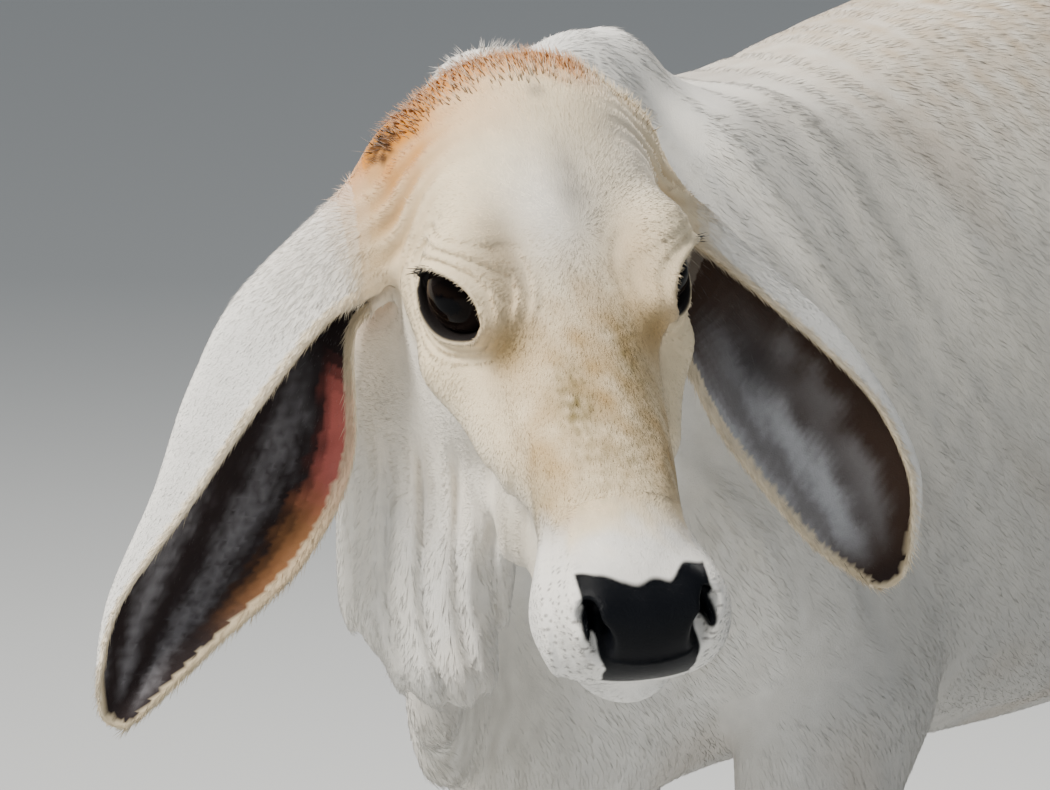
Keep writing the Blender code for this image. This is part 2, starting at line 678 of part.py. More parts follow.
def hind_box(side, grow=0.0):
    """Everything on one side under a plane that rises from the flank to the seat."""
    low, high = (0.1, -8, -60), (30, 60, 0)
    if side < 0:
        low, high = (-high[0], low[1], low[2]), (-low[0], high[1], high[2])
    return block(low, high, turned((HIND_TILT, 0, 0)), HIND_AT, grow)


def fore_box(side, grow=0.0):
    low, high = sorted((1.2 * side, 20 * side))
    return block((low, -36, -5), (high, -4, FORE_TOP), grow=grow)


def head_nodes(clay):
    """The head, its nose pad, and the two eyes in their sockets."""
    head = flesh("head", clay, (4, -72, 50), (44, -30, 90), 0.33, 2700)
    whole, nose, nose_grown = head_box(), nose_box(), nose_box(GAP / CM)
    pad = cut(shown("nose_pad", head.data.copy()), [nose], "INTERSECT")
    cut(cut(head, [whole], "INTERSECT"), [nose_grown])
    removed([whole, nose, nose_grown])
    eyes = []
    for name, side in SIDES.items():
        centre = head_turn() @ (np.array(EYE_AT) * (side, 1, 1)) + SKULL_AT
        socket = ball("socket", centre, EYE_RADIUS + GAP / CM, 20, 12)
        cut(head, [socket])
        removed([socket])
        eyes.append(ball("eye_" + name, centre, EYE_RADIUS, 20, 12))
    return head, pad, eyes


def ball(name, centre, radii, round_count, rows):
    """An ellipsoid, or a ball, of rings about its upright axis."""
    mesh = bpy.data.meshes.new(name)
    work = bmesh.new()
    bmesh.ops.create_uvsphere(work, u_segments=round_count, v_segments=rows, radius=1)
    work.to_mesh(mesh)
    work.free()
    place = Matrix.Translation(Vector(centre) * CM) @ Matrix.Diagonal((*(np.ones(3) * radii * CM), 1))
    mesh.transform(place)
    return shown(name, mesh)


def ear(name, head):
    """A thin cupped shell, open to the front, whose root stops at the head."""
    grid, out = ear_sheet(name, 14, 9)
    rings = []
    for row, normals, place in zip(grid, out, np.linspace(0, 1, len(grid))):
        half = EAR_HALF_THICK * min(1.0, 0.45 + 4 * (1 - place))
        rings.append(np.concatenate([row + normals * half, (row - normals * half)[::-1]]))
    skin = grown(head, GAP * 1.2)
    shell = cut(tube("ear_" + name, rings), [skin])
    removed([skin])
    return shell


def claw(name, middle, turn):
    """One half of a hoof: rings from the coronet down to a flat sole, long towards the toe."""
    spin = turned((0, 0, turn))[:2, :2]
    rings = []
    for height, length, width, lean in CLAW_RINGS:
        angles = np.arange(14) * 2 * math.pi / 14
        across = width * np.cos(angles) * (1 + 0.18 * np.sin(angles))
        level = np.column_stack([across, length * np.sin(angles) + lean]) @ spin.T + middle
        rings.append(np.column_stack([level, np.full(14, height)]))
    return tube(name, rings)


def foot(name, side, pastern, fetlock, leg):
    """The two claws and two dewclaws of one leg."""
    pieces = []
    for part, offset in (("outer", 1), ("inner", -1)):
        shift = offset * side * CLAW_SPREAD
        middle = np.array([pastern[0] + shift, pastern[1] - 0.3])
        pieces.append(claw(f"claw_{part}_{name}", middle, -3 * offset * side))
        centre = np.array(fetlock) + (shift * 0.9, 2.5, -0.9)
        dewclaw = ball(f"dewclaw_{part}_{name}", centre, (0.6, 0.75, 0.85), 8, 6)
        skin = grown(leg, GAP * 1.2)
        pieces.append(cut(dewclaw, [skin]))
        removed([skin])
    return pieces


def leg_nodes(clay, name, side):
    """The upper and lower part of a front and a hind leg, with their feet."""
    nodes, feet = [], []
    routes = leg_routes(side, *STEPS[name])
    limits = (
        ("front", fore_box, FORE_KNEE, (-34, -2), FORE_TOP + 1),
        ("hind", hind_box, HIND_KNEE, (6, 46), HIND_TOP),
    )
    x_low, x_high = sorted((-1 * side, 19 * side))
    for (end, box, knee, (y_low, y_high), top), (points, _) in zip(limits, routes):
        label = f"{end}_{name}"
        upper_span = (x_low, y_low, knee - 1), (x_high, y_high, top)
        lower_span = (x_low, y_low, 2), (x_high, y_high, knee + 1)
        upper = flesh("leg_upper_" + label, clay, *upper_span, 0.5, 560)
        lower = flesh("leg_lower_" + label, clay, *lower_span, 0.36, 480)
        under = block((-60, -90, -10), (60, 90, knee), grow=GAP / CM / 2)
        over = block((-60, -90, knee), (60, 90, 99), grow=GAP / CM / 2)
        hoof = block((-60, -90, -10), (60, 90, CORONET))
        bounds = box(side)
        cut(cut(upper, [bounds], "INTERSECT"), [under])
        cut(lower, [over, hoof])
        removed([under, over, hoof, bounds])
        feet += foot(label, side, points[-1], points[-2], lower)
        nodes += [upper, lower]
    return nodes, feet


def trunk_nodes(clay):
    """The neck, the torso and the tail down to its switch."""
    neck_part = flesh("neck", clay, (-16, -62, 42), (34, -18, 90), 0.45, 2700)
    torso = flesh("torso", clay, (-18, -36, 42), (18, 46, 86), 0.8, 2300)
    tail = flesh("tail", clay, (-4, 38, 40), (5, 50, 82), 0.3, 420)
    boxes = {
        "head": head_box(GAP / CM),
        "neck": neck_box(),
        "neck_grown": neck_box(GAP / CM),
        "tail": block(*TAIL_BLOCK),
        "tail_grown": block(*TAIL_BLOCK, grow=GAP / CM),
        "switch": block((-20, 30, 0), (20, 60, TAIL_END)),
    }
    legs = [maker(side, GAP / CM) for maker in (fore_box, hind_box) for side in (1, -1)]
    cut(cut(neck_part, [boxes["neck"]], "INTERSECT"), [boxes["head"]])
    cut(torso, [boxes["neck_grown"], boxes["head"], boxes["tail_grown"], *legs])
    cut(cut(tail, [boxes["tail"]], "INTERSECT"), [boxes["switch"]])
    removed([*boxes.values(), *legs])
    return neck_part, torso, tail


def lock(start, bend, end, width, thickness, spin):
    """A flat tapered tuft of hair as a closed strip, from its root to its point."""
    route = flowing([start, bend, end], 5)
    run = unit(np.array(end) - start)
    across = np.array([math.cos(spin), math.sin(spin), 0])
    flat = unit(np.cross(run, across))
    rings = []
    for point, share in zip(route, (0.8, 1.0, 0.85, 0.5, 0.12)):
        half, deep = across * width * share / 2, flat * max(thickness * share, 0.05) / 2
        rings.append(np.array([point + half, point + deep, point - half, point - deep]))
    return tube("lock", rings)


def switch():
    """The long hair at the tail's end: a core, and locks that hang round it, fused into one body."""
    rng = random.Random(7)
    centre = np.array([1.0, 43.6])
    sizes = ((TAIL_END - 0.03, 0.95), (42.0, 1.15), (36.0, 1.5), (30.0, 1.1), (25.0, 0.3))
    rings = []
    for height, radius in sizes:
        angles = np.arange(12) * math.pi / 6
        level = centre + radius * np.column_stack([np.cos(angles), np.sin(angles)])
        rings.append(np.column_stack([level, np.full(12, height)]))
    core = tube("tail_switch", rings)
    locks = bpy.data.collections.new("locks")
    for number in range(SWITCH_LOCKS):
        angle = number * 2.4 + rng.uniform(-0.2, 0.2)
        out = np.array([math.cos(angle), math.sin(angle), 0])
        high = rng.uniform(33.0, 43.5)
        low = max(high - rng.uniform(9.0, 13.0), rng.uniform(23.0, 27.0))
        start = np.array([*centre, high]) + out * 0.5
        bend = np.array([*centre, high * 0.5 + low * 0.5]) + out * rng.uniform(1.7, 2.3)
        end = np.array([*centre, low]) + out * rng.uniform(0.6, 1.9)
        thing = lock(start, bend, end, rng.uniform(1.0, 1.5), 0.45, angle + math.pi / 2)
        bpy.context.scene.collection.objects.unlink(thing)
        locks.objects.link(thing)
    union = {"operation": "UNION", "operand_type": "COLLECTION", "collection": locks, "solver": "EXACT"}
    baked(core, [("BOOLEAN", union)])
    removed(list(locks.objects))
    bpy.data.collections.remove(locks)
    return largest(core)


def build():
    removed(list(bpy.data.objects))
    clay = calf_clay()
    head, pad, eyes = head_nodes(clay)
    ears = [ear(name, head) for name in SIDES]
    neck_part, torso, tail = trunk_nodes(clay)
    for thing in (head, neck_part, torso, tail, *ears):
        finished(thing, HIDE, HIDE_ROUGH)
    for name, side in SIDES.items():
        nodes, feet = leg_nodes(clay, name, side)
        for thing in nodes:
            finished(thing, LEG_HIDE, HIDE_ROUGH)
        for thing in feet:
            finished(thing, HORN, HORN_ROUGH)
    finished(pad, NOSE_BLACK, 0.3)
    finished(switch(), SWITCH_DARK, 0.8)
    for thing in eyes:
        finished(thing, EYE_DARK, 0.05)


build()
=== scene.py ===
import itertools
import json
import math
import random

import bmesh
import bpy
import numpy as np
from mathutils import Euler, Matrix, Vector
from mathutils.bvhtree import BVHTree

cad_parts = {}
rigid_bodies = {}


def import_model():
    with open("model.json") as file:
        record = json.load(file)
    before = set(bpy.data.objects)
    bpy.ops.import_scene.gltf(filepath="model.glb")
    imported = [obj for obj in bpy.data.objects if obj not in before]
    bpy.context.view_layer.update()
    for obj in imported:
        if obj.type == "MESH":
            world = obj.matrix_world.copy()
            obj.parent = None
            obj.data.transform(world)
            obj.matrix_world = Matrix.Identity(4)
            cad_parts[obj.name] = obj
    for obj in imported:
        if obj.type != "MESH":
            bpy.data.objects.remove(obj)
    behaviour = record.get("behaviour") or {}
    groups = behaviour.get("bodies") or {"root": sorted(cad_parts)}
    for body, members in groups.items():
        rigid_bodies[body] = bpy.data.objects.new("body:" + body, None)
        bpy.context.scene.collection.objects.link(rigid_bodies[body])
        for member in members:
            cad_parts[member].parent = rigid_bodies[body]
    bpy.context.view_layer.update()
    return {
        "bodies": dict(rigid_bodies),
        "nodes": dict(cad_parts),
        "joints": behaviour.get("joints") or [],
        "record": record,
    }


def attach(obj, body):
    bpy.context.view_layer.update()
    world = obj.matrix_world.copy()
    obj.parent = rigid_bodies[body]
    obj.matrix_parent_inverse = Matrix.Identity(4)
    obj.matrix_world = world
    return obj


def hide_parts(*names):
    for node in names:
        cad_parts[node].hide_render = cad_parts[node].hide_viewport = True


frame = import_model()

# The flesh is the same soft shape as the solids', worked out from the same rounded pieces, in centimetres.
CM = 0.01
FAR = 99.0
MARGIN = 3.0
SIDES = {"left": 1, "right": -1}

# Driving dimensions of the calf, in centimetres
HUMP_TOP = 81.8
BACK = 83.6
BELLY = 47.0
BRISKET = (0, -27.0, 51.0)
# How far each side's front and hind foot stands from under its shoulder and hip
STEPS = {"left": (-3.0, 4.0), "right": (2.5, -3.5)}
# The model's origin in the clay's frame
ORIGIN = (10.2, -8.0)

# The head's place, and its turns in degrees
SKULL_AT = (13.5, -44.0, 79.0)
HEAD_YAW, HEAD_PITCH, HEAD_ROLL = 63.0, 41.0, -6.0
EYE_AT = (4.0, -9.9, 1.9)
EYE_RADIUS = 1.95
EYE_OUT = (0.74, -0.60, 0.30)
LID_HALF_LENGTH, LID_HALF_HEIGHT = 2.25, 1.5

# The ears and the throat are laid out in a frame whose -Y faces the one who looks at the calf's face.
FACE_TURN, FACE_AT = (-8, 0, 45), (16.0, -45.0, 68.0)


def unit(vector):
    return vector / np.linalg.norm(vector)


def turned(degrees):
    return np.array(Euler([math.radians(a) for a in degrees]).to_matrix())


def flowing(rows, count=80):
    """The rows of a table, drawn out into count rows along a smooth curve through them."""
    rows = np.array(rows, float)
    ends = np.vstack([2 * rows[0] - rows[1], rows, 2 * rows[-1] - rows[-2]])
    place = np.linspace(0, len(rows) - 1, count)
    start = np.minimum(place.astype(int), len(rows) - 2)
    t = (place - start)[:, None]
    a, b, c, d = (ends[start + i] for i in range(4))
    square, cube = 2 * a - 5 * b + 4 * c - d, 3 * b - a - 3 * c + d
    return 0.5 * (2 * b + (c - a) * t + square * t**2 + cube * t**3)


class Piece:
    """One rounded piece of clay: how far points are from its surface, and a ball that holds it."""

    def __init__(self, distance, centre, reach):
        self.distance = distance
        self.centre = np.array(centre, float)
        self.reach = reach

    def posed(self, turn, place):
        """The same piece, turned by a matrix and moved."""
        return Piece(lambda p: self.distance((p - place) @ turn), turn @ self.centre + place, self.reach)


def ball_distance(points, radii):
    """How far points are from an ellipsoid round the origin, true near its surface."""
    scaled = points / radii
    far = np.linalg.norm(scaled, axis=1)
    return far * (far - 1) / (np.linalg.norm(scaled / radii, axis=1) + 1e-9)


def egg(centre, radii, turn=(0, 0, 0)):
    """An ellipsoid."""
    centre, radii, spin = np.array(centre, float), np.array(radii, float), turned(turn)
    return Piece(lambda points: ball_distance((points - centre) @ spin, radii), centre, radii.max())


def limb(start, end, start_size, end_size, side=(1, 0, 0)):
    """A tapered rod with rounded ends. Each size is (half width along side, half depth across it)."""
    start, end = np.array(start, float), np.array(end, float)
    length = np.linalg.norm(end - start)
    axis = (end - start) / length
    across = unit(np.array(side, float) - np.dot(side, axis) * axis)
    frame = np.column_stack([across, np.cross(axis, across), axis])
    low, high = (np.array([*size, sum(size) / 2], float) for size in (start_size, end_size))

    def distance(points):
        local = (points - start) @ frame
        along = np.clip(local[:, 2], 0, length)
        local[:, 2] -= along
        return ball_distance(local, low + (along / length)[:, None] * (high - low))

    return Piece(distance, (start + end) / 2, length / 2 + max(*start_size, *end_size))


def chain(points, sizes, side=(1, 0, 0)):
    """Limbs end to end. With no side given, each limb's width lies level, across its own run."""
    limbs = []
    for (start, end), ends_sizes in zip(itertools.pairwise(points), itertools.pairwise(sizes)):
        level = (start[1] - end[1], end[0] - start[0], 0)
        limbs.append(limb(start, end, *ends_sizes, side or level))
    return limbs


def loft(rows, widest=0.5, square=2.3):
    """A body drawn through cross-sections along Y. A row is (y, top, bottom, half width)."""
    rows = np.array(rows, float)
    table = flowing(rows[np.argsort(rows[:, 0])])
    span = table[:, 0]

    def distance(points):
        y = np.clip(points[:, 1], span[0], span[-1])
        top, bottom, half = (np.interp(y, span, table[:, i]) for i in (1, 2, 3))
        middle = bottom + widest * (top - bottom)
        x, z, beyond = points[:, 0], points[:, 2] - middle, points[:, 1] - y
        height = np.where(z > 0, top - middle, middle - bottom)
        ring = (np.abs(x / half) ** square + np.abs(z / height) ** square) ** (1 / square)
        ratio = np.hypot(ring, beyond / np.minimum(half, height)) + 1e-9
        return np.sqrt(x * x + z * z + beyond * beyond) * (1 - 1 / ratio)

    low = np.array([-table[:, 3].max(), span[0], table[:, 2].min()])
    high = np.array([table[:, 3].max(), span[-1], table[:, 1].max()])
    return Piece(distance, (low + high) / 2, np.linalg.norm(high - low) / 2 + 2)


def pressed(one, other, soft):
    """The distance from two pieces pressed together, with the crease between them filled."""
    blend = np.maximum(soft - np.abs(one - other), 0)
    return np.minimum(one, other) - blend * blend / (4 * soft)


class Clay:
    """Pieces of clay pressed together, or carved away, one after the other."""

    def __init__(self):
        self.steps = []

    def add(self, pieces, soft, carved=False):
        for piece in pieces if isinstance(pieces, list) else [pieces]:
            self.steps.append((piece, soft, carved))

    def carve(self, pieces, soft):
        self.add(pieces, soft, True)

    def take(self, other, turn, place):
        """Adds all that another clay holds, turned and moved."""
        self.steps += [(piece.posed(turn, place), soft, carved) for piece, soft, carved in other.steps]

    def distance(self, points, group=20000):
        """How far each point is from the surface, below zero inside. It is exact near the surface only."""
        return np.concatenate([self.near(points[i : i + group]) for i in range(0, len(points), group)])

    def near(self, points):
        found = np.full(len(points), FAR)
        low, high = points.min(axis=0), points.max(axis=0)
        for piece, soft, carved in self.steps:
            reach = piece.reach + soft + MARGIN
            if np.linalg.norm(piece.centre - np.clip(piece.centre, low, high)) > reach:
                continue
            close = np.linalg.norm(points - piece.centre, axis=1) < reach
            if not close.any():
                continue
            old, new = found[close], piece.distance(points[close])
            found[close] = -pressed(-old, new, soft) if carved else pressed(old, new, soft)
        return found


def sampled(clay, low, high, step, block=4):
    """The clay's distance on a grid of that step, worked out in the blocks that the surface may cross."""
    counts = np.ceil((np.array(high) - low) / (step * block)).astype(int)
    values = np.full(counts * block + 1, FAR)
    blocks = lattice(counts)
    blocks = blocks[np.argsort(blocks[:, 1], kind="stable")]
    middle = clay.distance(low + (blocks + 0.5) * block * step)
    for first in blocks[middle < -block * step] * block:
        values[tuple(slice(i, i + block + 1) for i in first)] = -FAR
    crossed = blocks[np.abs(middle) < 1.6 * block * step]
    nodes = (crossed[:, None] * block + lattice([block + 1] * 3)).reshape(-1, 3)
    values[tuple(nodes.T)] = clay.distance(low + nodes * step)
    for axis in range(3):
        edge = np.moveaxis(values, axis, 0)
        edge[0] = edge[-1] = FAR
    return values


def lattice(counts):
    """Every whole-number place in a box of those counts, one row each."""
    return np.stack(np.meshgrid(*(np.arange(n) for n in counts), indexing="ij"), -1).reshape(-1, 3)


def netted(values, low, step):
    """(points, four-sided faces) of the surface where a grid of distances passes zero."""
    inside = values < 0
    cells = tuple(n - 1 for n in values.shape)
    corners = list(itertools.product((0, 1), repeat=3))

    def at(grid, offset):
        return grid[tuple(slice(o, o + n) for o, n in zip(offset, cells))]

    count = sum(at(inside, c).astype(np.int8) for c in corners)
    mixed = (count > 0) & (count < 8)
    number = np.full(cells, -1)
    number[mixed] = np.arange(mixed.sum())
    total, crossings = np.zeros((mixed.sum(), 3)), np.zeros(mixed.sum())
    for axis in range(3):
        for c in corners:
            if c[axis]:
                continue
            end = tuple(v + (i == axis) for i, v in enumerate(c))
            a, b = at(values, c)[mixed], at(values, end)[mixed]
            hit = (a < 0) != (b < 0)
            point = np.tile(np.array(c, float), (len(a), 1))
            point[:, axis] += np.where(hit, a / np.where(hit, a - b, 1), 0)
            total += point * hit[:, None]
            crossings += hit
    points = low + (np.argwhere(mixed) + total / crossings[:, None]) * step
    faces = []
    for axis in range(3):
        one, two = [i for i in range(3) if i != axis]
        first, last = [slice(1, -1)] * 3, [slice(1, -1)] * 3
        first[axis], last[axis] = slice(0, -1), slice(1, None)
        a, b = inside[tuple(first)], inside[tuple(last)]
        for out, flip in ((a & ~b, axis == 1), (~a & b, axis != 1)):
            node = np.argwhere(out)
            node[:, [one, two]] += 1
            ring = []
            for d1, d2 in ((-1, -1), (0, -1), (0, 0), (-1, 0)):
                cell = node.copy()
                cell[:, one] += d1
                cell[:, two] += d2
                ring.append(number[tuple(cell.T)])
            quad = np.stack(ring, axis=1)
            faces.append(quad[:, ::-1] if flip else quad)
    return points, np.concatenate(faces)


def head_clay():
    """The head in its own frame: muzzle towards -Y, forehead up, the skull's back near the origin."""
    clay = Clay()
    skull = [
        (1.8, 3.2, -5.5, 3.4),
        (0.4, 5.6, -6.6, 4.9),
        (-3.0, 6.8, -7.0, 5.7),
        (-7.0, 6.2, -7.0, 5.6),
        (-10.2, 5.0, -6.8, 5.0),
        (-13.6, 3.6, -6.0, 4.1),
        (-17.4, 2.6, -5.2, 3.5),
        (-21.2, 1.9, -4.5, 3.1),
        (-24.8, 1.3, -4.0, 3.1),
        (-26.8, 0.7, -3.9, 3.2),
    ]
    clay.add(loft(skull, widest=0.52), 1.0)
    clay.add(egg((0, -2.0, -7.0), (3.4, 3.6, 3.0)), 3.0)
    for side in (1, -1):
        clay.add(jaw(side), 2.0)
        clay.add(egg((3.8 * side, -7.4, -4.6), (1.7, 5.2, 4.2)), 2.0)
        clay.add(brow(side), 2.2)
        clay.add(cheekbone(side), 1.8)
        clay.add(egg((2.4 * side, -25.1, -3.0), (2.1, 2.9, 2.2)), 1.6)
        clay.add(egg((2.3 * side, -26.7, -0.6), (1.4, 1.7, 1.4)), 1.0)
        clay.add(egg((5.0 * side, -1.6, -0.6), (1.9, 2.6, 3.4)), 2.0)
    clay.add(egg((0, -25.6, -2.2), (3.7, 2.9, 2.9)), 1.5)
    clay.add(egg((0, -24.8, -5.8), (2.5, 2.9, 1.5)), 1.2)
    clay.carve(mouth_line(), 0.5)
    for side in (1, -1):
        clay.add(egg(eye_place(side), [EYE_RADIUS + 0.3] * 3), 1.2)
        clay.carve(almond(side), 0.25)
        nostril = [(2.3 * side, -28.9, -0.9), (2.1 * side, -26.9, -0.3)]
        clay.carve(chain(nostril, [(0.5, 0.75), (0.35, 0.5)]), 0.4)
        clay.carve(egg((2.9 * side, -27.8, 0.2), (0.5, 1.2, 0.42), (0, 0, 25 * side)), 0.4)
    return clay


def jaw(side):
    route = [(3.3, -3.4, -7.8), (2.8, -8.6, -8.4), (1.9, -16.4, -6.8), (1.0, -23.8, -5.3)]
    return chain(sided(route, side), [(1.5, 2.2), (1.3, 1.9), (1.1, 1.5), (1.3, 1.2)])


def brow(side):
    """The rim of bone over the eye."""
    return chain(sided([(3.4, -6.8, 4.0), (4.5, -9.6, 4.1), (3.9, -12.6, 3.0)], side), [(0.8, 0.8)] * 3)


def cheekbone(side):
    return chain(sided([(5.0, -7.4, -0.6), (4.9, -11.4, -1.3), (3.5, -16.2, -2.0)], side), [(0.8, 0.8)] * 3)


def sided(points, side):
    """The points as they lie on the left side, or mirrored to the right."""
    return [(x * side, y, z) for x, y, z in points]


def mouth_line():
    """The closed mouth, a groove round the front of the muzzle and back along the cheeks."""
    half = [(0, -28.2, -4.8), (1.7, -27.3, -4.9), (2.9, -25.4, -4.9), (3.2, -22.6, -4.6), (3.3, -19.8, -4)]
    route = sided(half[:0:-1], -1) + half
    return chain(route, [(0.55, 0.16)] * len(route), side=(0, 0, 1.0))


def eye_place(side):
    """The middle of an eye in the head's frame."""
    return np.array(EYE_AT) * (side, 1, 1)


def eye_frame(side):
    """Columns: along the lids away from the nose, up across them, and out of the eye."""
    out = unit(np.array(EYE_OUT) * (side, 1, 1))
    along = unit(np.cross(out, (0, 0, 1.0)) * -side + np.array([0, 0, -0.28]))
    along = unit(along - along.dot(out) * out)
    return np.column_stack([along, np.cross(out, along) * side, out])


# Each lid's edge is an arc of this radius, whose centre lies this far from the middle of the opening.
LID_RADIUS = (LID_HALF_LENGTH**2 + LID_HALF_HEIGHT**2) / (2 * LID_HALF_HEIGHT)
LID_OFFSET = LID_RADIUS - LID_HALF_HEIGHT


def seen_by_eye(local, side):
    """Points of the head along the lids, up across them and out of the eye."""
    return (local - eye_place(side)) @ eye_frame(side)


def almond(side):
    """The opening between the lids: where two round discs overlap, drawn outwards from the eye."""

    def distance(points):
        a, b, out = seen_by_eye(points, side).T
        lens = np.hypot(a, np.abs(b) + LID_OFFSET) - LID_RADIUS
        return np.maximum(lens, 0.4 - out)

    return Piece(distance, eye_place(side) + eye_frame(side)[:, 2] * 1.5, 2.8)


def head_turn():
    """The matrix that turns the head from its own frame to its place on the calf."""
    return turned((0, 0, HEAD_YAW)) @ turned((HEAD_PITCH, 0, 0)) @ turned((0, HEAD_ROLL, 0))


def leg_routes(side, fore_step, hind_step):
    """The joints and sizes of a front and a hind leg, from the top down. A step moves the foot along Y."""
    fore = [
        (8.1, -17.2, 49.5, 3.6, 5.4),
        (7.8, -17.6, 39.0, 2.6, 3.6),
        (7.5, -18.4, 28.0, 2.5, 2.7),
        (7.3, -17.8, 19.5, 1.55, 1.75),
        (7.2, -17.9, 10.8, 2.0, 2.2),
        (7.2, -20.2, 4.6, 1.9, 2.1),
    ]
    hind = [
        (8.8, 21.0, 53.0, 4.2, 7.6),
        (8.3, 28.0, 43.0, 2.9, 4.4),
        (7.8, 34.6, 34.0, 2.1, 3.2),
        (7.6, 33.6, 22.0, 1.6, 2.0),
        (7.5, 33.2, 11.0, 2.05, 2.3),
        (7.5, 30.6, 4.8, 1.95, 2.1),
    ]
    legs = []
    for rows, step in ((fore, fore_step), (hind, hind_step)):
        top = rows[0][2]
        points = [(x * side, y + step * (1 - z / top), z) for x, y, z, _, _ in rows]
        legs.append((points, [row[3:] for row in rows]))
    return legs


def calf_clay():
    """All the flesh of the calf but its ears, eyes, claws and the switch of its tail."""
    clay = Clay()
    trunk = [
        (-30.0, 69.0, 54.0, 3.8),
        (-27.0, 73.0, 49.0, 6.4),
        (-21.0, 77.0, 46.6, 9.0),
        (-14.0, 79.0, 46.4, 10.8),
        (-5.0, BACK - 2.4, 46.8, 12.2),
        (4.0, BACK - 0.8, BELLY, 13.0),
        (13.0, BACK, 48.6, 12.6),
        (20.0, BACK + 0.6, 52.4, 11.2),
        (27.0, BACK + 0.2, 56.0, 9.6),
        (34.0, BACK - 2.2, 59.0, 8.0),
        (40.0, BACK - 7.2, 63.0, 5.2),
    ]
    clay.add(loft(trunk, widest=0.44), 2.0)
    clay.add(egg((0.4, -25.6, HUMP_TOP - 5.6), (3.5, 6.0, 5.6), (8, 0, 0)), 3.6)
    clay.add(egg(BRISKET, (3.8, 7.4, 7.4)), 4.0)
    for name, side in SIDES.items():
        add_quarters(clay, side, *leg_routes(side, *STEPS[name]))
    clay.add(neck(), 4.0)
    clay.take(head_clay(), head_turn(), np.array(SKULL_AT))
    clay.add(throat(), 3.0)
    clay.add(dewlap(), 2.4)
    clay.add(limb((0, -4.0, BELLY + 1.0), (0, 12.0, 48.8), (1.4, 1.8), (1.2, 1.2)), 3.5)
    clay.add(chain(tail_route(), [(2.0, 1.6), (1.7, 1.5), (1.3, 1.3), (1.05, 1.05), (0.9, 0.9)]), 0.6)
    return clay


def add_quarters(clay, side, fore, hind):
    """One side's shoulder, haunch and legs, each leg given as its joints and sizes."""
    (fore, fore_sizes), (hind, hind_sizes) = fore, hind
    clay.add(limb((5.0 * side, -17.5, 73.0), (7.6 * side, -23.6, 58.5), (2.8, 6.0), (3.4, 5.0)), 4.0)
    clay.add(limb((7.8 * side, -23.6, 58.0), (8.4 * side, -16.5, 51.0), (3.2, 4.2), (3.4, 4.6)), 3.5)
    clay.add(chain(fore, fore_sizes), 0.9)
    clay.add(egg((7.6 * side, fore[2][1] - 0.4, 27.2), (2.5, 2.4, 3.2)), 1.2)
    clay.add(egg((8.0 * side, -13.4, 50.0), (1.9, 2.2, 3.0)), 2.5)
    clay.add(egg((7.6 * side, 27.5, 66.0), (5.2, 10.6, 14.5), (-12, 0, 0)), 4.0)
    clay.add(egg((7.4 * side, 32.0, 58.0), (4.4, 7.6, 12.0), (14, 0, 0)), 4.0)
    clay.add(egg((9.2 * side, 17.6, 53.0), (3.6, 5.4, 7.5), (20, 0, 0)), 4.0)
    clay.add(chain(hind, hind_sizes), 1.2)
    heel = np.array(hind[2]) + (0, 3.0, 1.6)
    clay.add(limb(heel, heel + (0.4 * side, -6.5, 15.0), (1.1, 1.3), (1.4, 2.4)), 2.0)
    clay.add(egg((8.8 * side, 20.0, 77.2), (2.2, 3.6, 2.6)), 4.5)
    clay.add(egg((4.2 * side, 38.4, 73.0), (1.8, 2.6, 2.6)), 4.5)


def neck():
    route = [(0.0, -22.0, 66.5), (2.4, -30.0, 68.6), (6.4, -36.6, 70.6), (11.4, -42.0, 73.4)]
    return chain(route, [(6.8, 10.0), (5.2, 8.4), (4.8, 6.8), (4.6, 5.6)], side=None)


def faced(across, away, up):
    """A place given as seen by the one who looks at the calf's face, in the clay's frame."""
    return turned(FACE_TURN) @ (across, away, up) + FACE_AT


def throat():
    """Loose skin under the jaw: the web to the neck, the throat itself, and three hanging folds."""
    level = turned(FACE_TURN)[:, 0]
    web = [(1.6, -32.0, 62.0), (5.6, -37.2, 62.2), (9.4, -41.4, 63.2), (12.6, -44.0, 65.4)]
    return [
        *chain(web, [(1.6, 3.6)] * len(web), side=None),
        limb(faced(-6.4, 5.0, 2.0), faced(-6.0, 5.4, -8.4), (2.6, 4.0), (2.5, 4.0), level),
        limb(faced(-5.2, 2.6, -1.5), faced(-4.8, 2.4, -11.9), (1.3, 2.0), (1.1, 1.8), level),
        limb(faced(-3.6, 3.0, -7.0), faced(-3.2, 2.8, -12.0), (0.8, 1.6), (0.8, 1.5), level),
        limb(faced(-2.0, 1.5, -8.0), faced(-2.4, 1.5, -12.2), (0.7, 1.4), (0.7, 1.3), level),
    ]


def dewlap():
    """The thin fold of loose skin that hangs from the throat, along the neck, to the chest."""
    table = [
        (17.0, -47.0, 67.0, 0.8, 2.2),
        (12.6, -45.6, 63.0, 0.9, 3.6),
        (8.4, -43.0, 58.8, 1.0, 4.4),
        (5.0, -39.6, 55.2, 1.0, 4.6),
        (2.4, -36.0, 52.4, 1.1, 4.4),
        (0.8, -31.6, 50.6, 1.3, 4.0),
        (0.0, -25.0, 49.6, 1.5, 3.0),
    ]
    return chain([row[:3] for row in table], [row[3:] for row in table], side=None)


def tail_route():
    return [(0, 35.0, 80.6), (0.1, 40.6, 77.2), (0.4, 43.4, 69.0), (0.8, 44.0, 55.0), (1.0, 43.6, 42.0)]


